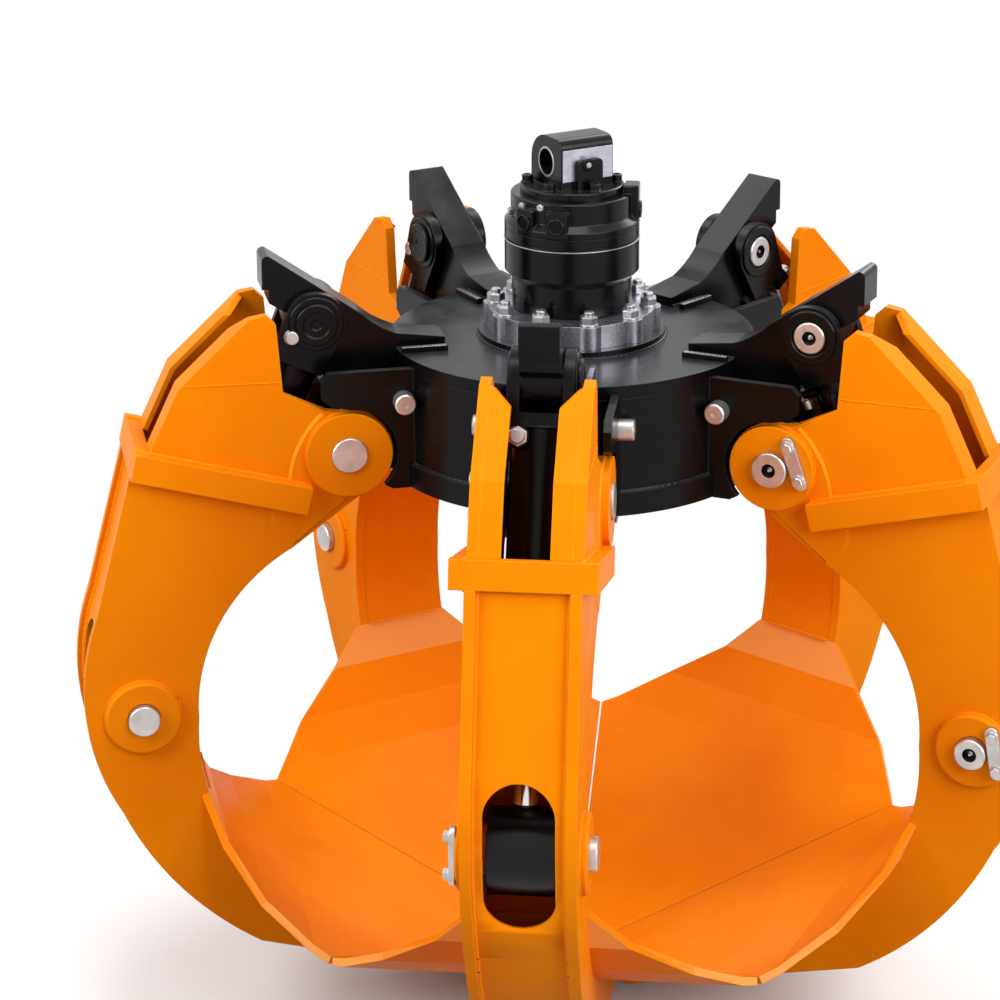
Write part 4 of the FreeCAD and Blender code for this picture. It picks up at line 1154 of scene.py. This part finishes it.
def from_middle(corners):
    """An outline's points as rays from 0, 0 meet them at equal steps, for a plate with a round hole."""
    closed = [Vector(pair) for pair in corners] + [Vector(corners[0])]
    points = []
    for ray in ring_points(1.0, EYE_RAYS):
        way = Vector(ray)
        for start, end in zip(closed[:-1], closed[1:]):
            edge = end - start
            across = way.x * edge.y - way.y * edge.x
            if abs(across) < PARALLEL:
                continue
            reach = (start.x * edge.y - start.y * edge.x) / across
            share = (start.x * way.y - start.y * way.x) / across
            if reach > 0 and -SLACK <= share <= 1 + SLACK:
                points.append(tuple(way * reach))
                break
    return points


EYE_HALF = 0.056
EYE_BORE_R = 0.025
EYE_TOP = 0.050
EYE_FRONT_CORNER = 0.018
EYE_BACK_CORNER = 0.052
EYE_CORNER_STEPS = 10
FOOT_R = 0.098
FOOT_PROFILE = ((0.0, HEAD_TOP), (FOOT_R, HEAD_TOP), (FOOT_R, EYE_FOOT_TOP - 0.002),
                (FOOT_R - 0.002, EYE_FOOT_TOP), (0.0, EYE_FOOT_TOP))
RIB_HALF = 0.027
RIB_TOP = 0.012
RIB_CORNER = 0.010
RIB_CORNER_STEPS = 6
RIB_OUT = 0.070
RIB_FOOT = EYE_HALF - 0.002
RIB_CHAMFER = 0.0015
LOCK_HOLE = (-0.006, 0.002)
# A black disc stands where the lock hole is: its chamfered edge is the ring round the hole, its face is painted
# shade.
LOCK_RING_AND_SHADE = ((0.0125, -0.004), (0.0125, 0.0010), (0.0105, 0.0025), (0.0, 0.0025))
LOCK_SCREW = ((0.0055, 0.002), (0.0055, 0.0036), (0.0045, 0.0044), (0.0, 0.0044))
LOCK_SCREW_SIDES = 24
FACE_PANEL = ((-0.053, -0.030), (0.055, 0.031))
FACE_PANEL_HEIGHT = 0.0006
FACE_PANEL_CHAMFER = 0.0004


def round_top(half, top, front, back, count):
    """An outline that stands on the head, with its two upper corners rounded to their own radii."""
    return ([(-half, HEAD_TOP), (half, HEAD_TOP)]
            + part_circle((half - back, top - back), back, 0, 90, count)
            + part_circle((front - half, top - front), front, 90, 90, count))


def suspension_eye():
    """The eye as the photograph has it: flat to the front, round at the back, with a machined face."""
    outline = round_top(EYE_HALF, EYE_TOP, EYE_FRONT_CORNER, EYE_BACK_CORNER, EYE_CORNER_STEPS)
    block = moved(pierced(from_middle(outline), EYE_BORE_R, -EYE_HALF, EYE_HALF), STANDING)
    foot = lathe(FOOT_PROFILE, LARGEST_SIDES)
    rib = round_top(RIB_HALF, RIB_TOP, RIB_CORNER, RIB_CORNER, RIB_CORNER_STEPS)
    rib_plate = moved(prism(rib, RIB_FOOT, RIB_OUT, chamfer=RIB_CHAMFER), AGAINST_Y)
    made = piece("suspension_eye_detail", joined(block, foot, rib_plate), "rotator_black", "rotator")
    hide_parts("suspension_eye")
    (left, low), (right, high) = FACE_PANEL
    panel = prism([(left, low), (right, low), (right, high), (left, high)], 0.0, FACE_PANEL_HEIGHT,
                  chamfer=FACE_PANEL_CHAMFER)
    piece("eye_machined_face", moved(panel, shifted(0, -EYE_HALF, 0) @ AGAINST_Y), "steel", "rotator",
          finish="machined")
    # The lock hole: a ring, and a black face that is painted shade.
    hole = shifted(LOCK_HOLE[0], -RIB_OUT, LOCK_HOLE[1]) @ AGAINST_Y
    piece("lock_ring_and_shade", moved(lathe(LOCK_RING_AND_SHADE, SMALL_SIDES), hole), "hub_black", "rotator")
    piece("lock_screw", moved(lathe(LOCK_SCREW, LOCK_SCREW_SIDES), hole), "steel", "rotator")


# The foot's screws stand on a part circle: (centre, radius, start, sweep, count)
HEAD_SCREW_PLACES = ((0, 0), 0.084, 30, 300, 5)
HEAD_SCREW_WASHER = (0.0125, 0.004, 0.002)
HEAD_SCREW = (0.0105, 0.013, 0.001, 0.0055, 0.006)
EYE_BUSH = ((0.0252, -0.0565), (0.0285, -0.0565), (0.0295, -0.0555), (0.0295, -0.054), (0.0252, -0.054))


def rotator_details():
    """The screws in the eye's foot and the bushes in its bore."""
    screw = on_washer(HEAD_SCREW_WASHER, capped(*HEAD_SCREW))
    shapes = [moved(screw, shifted(x, y, EYE_FOOT_TOP)) for x, y in part_circle(*HEAD_SCREW_PLACES)]
    made = piece("head_screws", joined(*shapes), "rotator_black", "rotator")
    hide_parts("head_bolts")
    rings = [moved(lathe(EYE_BUSH), ALONG_X), moved(lathe(EYE_BUSH), AGAINST_X)]
    piece("eye_bushes", joined(*rings), "steel", "rotator")


def seen_directly(nodes, links):
    """1 for what the camera sees, straight or in a reflection, and 0 for the light on the object."""
    path = nodes.new("ShaderNodeLightPath")
    either = path.outputs["Is Camera Ray"]
    for kind in ("Is Glossy Ray", "Is Transmission Ray"):
        highest = nodes.new("ShaderNodeMath")
        highest.operation = "MAXIMUM"
        feed(links, highest, {0: either, 1: path.outputs[kind]})
        either = highest.outputs["Value"]
    return either


FLOOR_HALF = 40.0
FLOOR_LIT = (0.30, 0.30, 0.30)
FLOOR_SEEN = (0.95, 0.95, 0.95)
FLOOR_ROUGHNESS = 0.9
FLOOR_FADE = (0.9, 1.9)


def stage():
    """A pale floor that fades into the white backdrop away from the object."""
    half = FLOOR_HALF
    corners = ((-half, -half), (half, -half), (half, half), (-half, half))
    sweep = bpy.data.meshes.new("floor")
    sweep.from_pydata([(x, y, GROUND) for x, y in corners], [], [(0, 1, 2, 3)])
    floor = linked("floor", sweep)
    material, nodes, links, shader = principled("floor_white")
    seen = seen_directly(nodes, links)
    feed(links, shader, {"Base Color": mixed(nodes, links, seen, FLOOR_LIT, FLOOR_SEEN),
                         "Roughness": FLOOR_ROUGHNESS, "Specular IOR Level": 0.0})
    place = nodes.new("ShaderNodeTexCoord")
    away = distance_from(nodes, links, place.outputs["Object"], (0.0, 0.0, GROUND))
    faded = times(nodes, links, spread(nodes, links, away, FLOOR_FADE, FULL), seen)
    white = nodes.new("ShaderNodeEmission")
    blend = nodes.new("ShaderNodeMixShader")
    feed(links, blend, {0: faded, 1: shader.outputs["BSDF"], 2: white.outputs["Emission"]})
    links.new(blend.outputs["Shader"], nodes["Material Output"].inputs["Surface"])
    sweep.materials.append(material)


# The camera as the photograph has it: seen a little from above, with the view's axis off centre
CAMERA_PLACE = (-2.9706, -5.0431, 1.4566)
CAMERA_HEADING = math.radians(30.5)
CAMERA_PITCH = math.radians(16.5)
CAMERA_LENS = 115.2
CAMERA_SENSOR = 36.0
CAMERA_SHIFT = (-0.072, -0.201)

# The lamps are (name, place, size, power), and all face one spot; the world's light is even
LAMPS_FACE = Vector((0.0, 0.0, -0.7))
LAMPS = (
    ("key", (1.2, -5.3, 1.9), 4.0, 300.0),
    ("left", (-4.9, 0.3, 2.2), 4.0, 250.0),
    ("top", (-0.6, -1.6, 5.0), 3.0, 110.0),
    ("back", (-1.2, 3.6, 4.2), 2.6, 60.0),
    ("rim", (4.2, 2.2, 3.4), 4.0, 250.0),
)
WORLD_LIGHT = 0.24


def facing(direction):
    return direction.to_track_quat("-Z", "Y").to_euler()


def camera():
    data = bpy.data.cameras.new("camera")
    data.sensor_width = CAMERA_SENSOR
    data.lens = CAMERA_LENS
    data.shift_x, data.shift_y = CAMERA_SHIFT
    made = linked("camera", data)
    made.location = CAMERA_PLACE
    level = math.cos(CAMERA_PITCH)
    made.rotation_euler = facing(Vector((math.sin(CAMERA_HEADING) * level, math.cos(CAMERA_HEADING) * level,
                                         -math.sin(CAMERA_PITCH))))
    bpy.context.scene.camera = made


def light(name, place, size, power):
    lamp = bpy.data.lights.new(name, "AREA")
    lamp.shape = "DISK"
    lamp.size = size
    lamp.energy = power
    made = linked(name, lamp)
    made.location = place
    made.rotation_euler = facing(LAMPS_FACE - Vector(place))


def studio():
    world = bpy.data.worlds.new("studio")
    bpy.context.scene.world = world
    world.use_nodes = True
    nodes, links = world.node_tree.nodes, world.node_tree.links
    background = nodes["Background"]
    strength = spread(nodes, links, seen_directly(nodes, links), FULL, (WORLD_LIGHT, 1.0))
    feed(links, background, {"Color": (1.0, 1.0, 1.0, 1.0), "Strength": strength})
    bpy.context.scene.view_settings.view_transform = "Standard"
    for lamp in LAMPS:
        light(*lamp)


give_materials()
for tine in TINES:
    tine_turn = tine_matrix(tine)
    tine_pins(tine, tine_turn)
    tine_rings(tine, tine_turn)
    box_plates(tine, tine_turn)
    tine_welds(tine, tine_turn)
    doubler(tine, tine_turn)
    cylinder_details(tine, tine_turn)
upper_pin_details()
stop_pin_details()
flange_nut_details()
hub_welds()
rib_top_highlights()
suspension_eye()
rotator_head()
rotator_details()
stage()
camera()
studio()
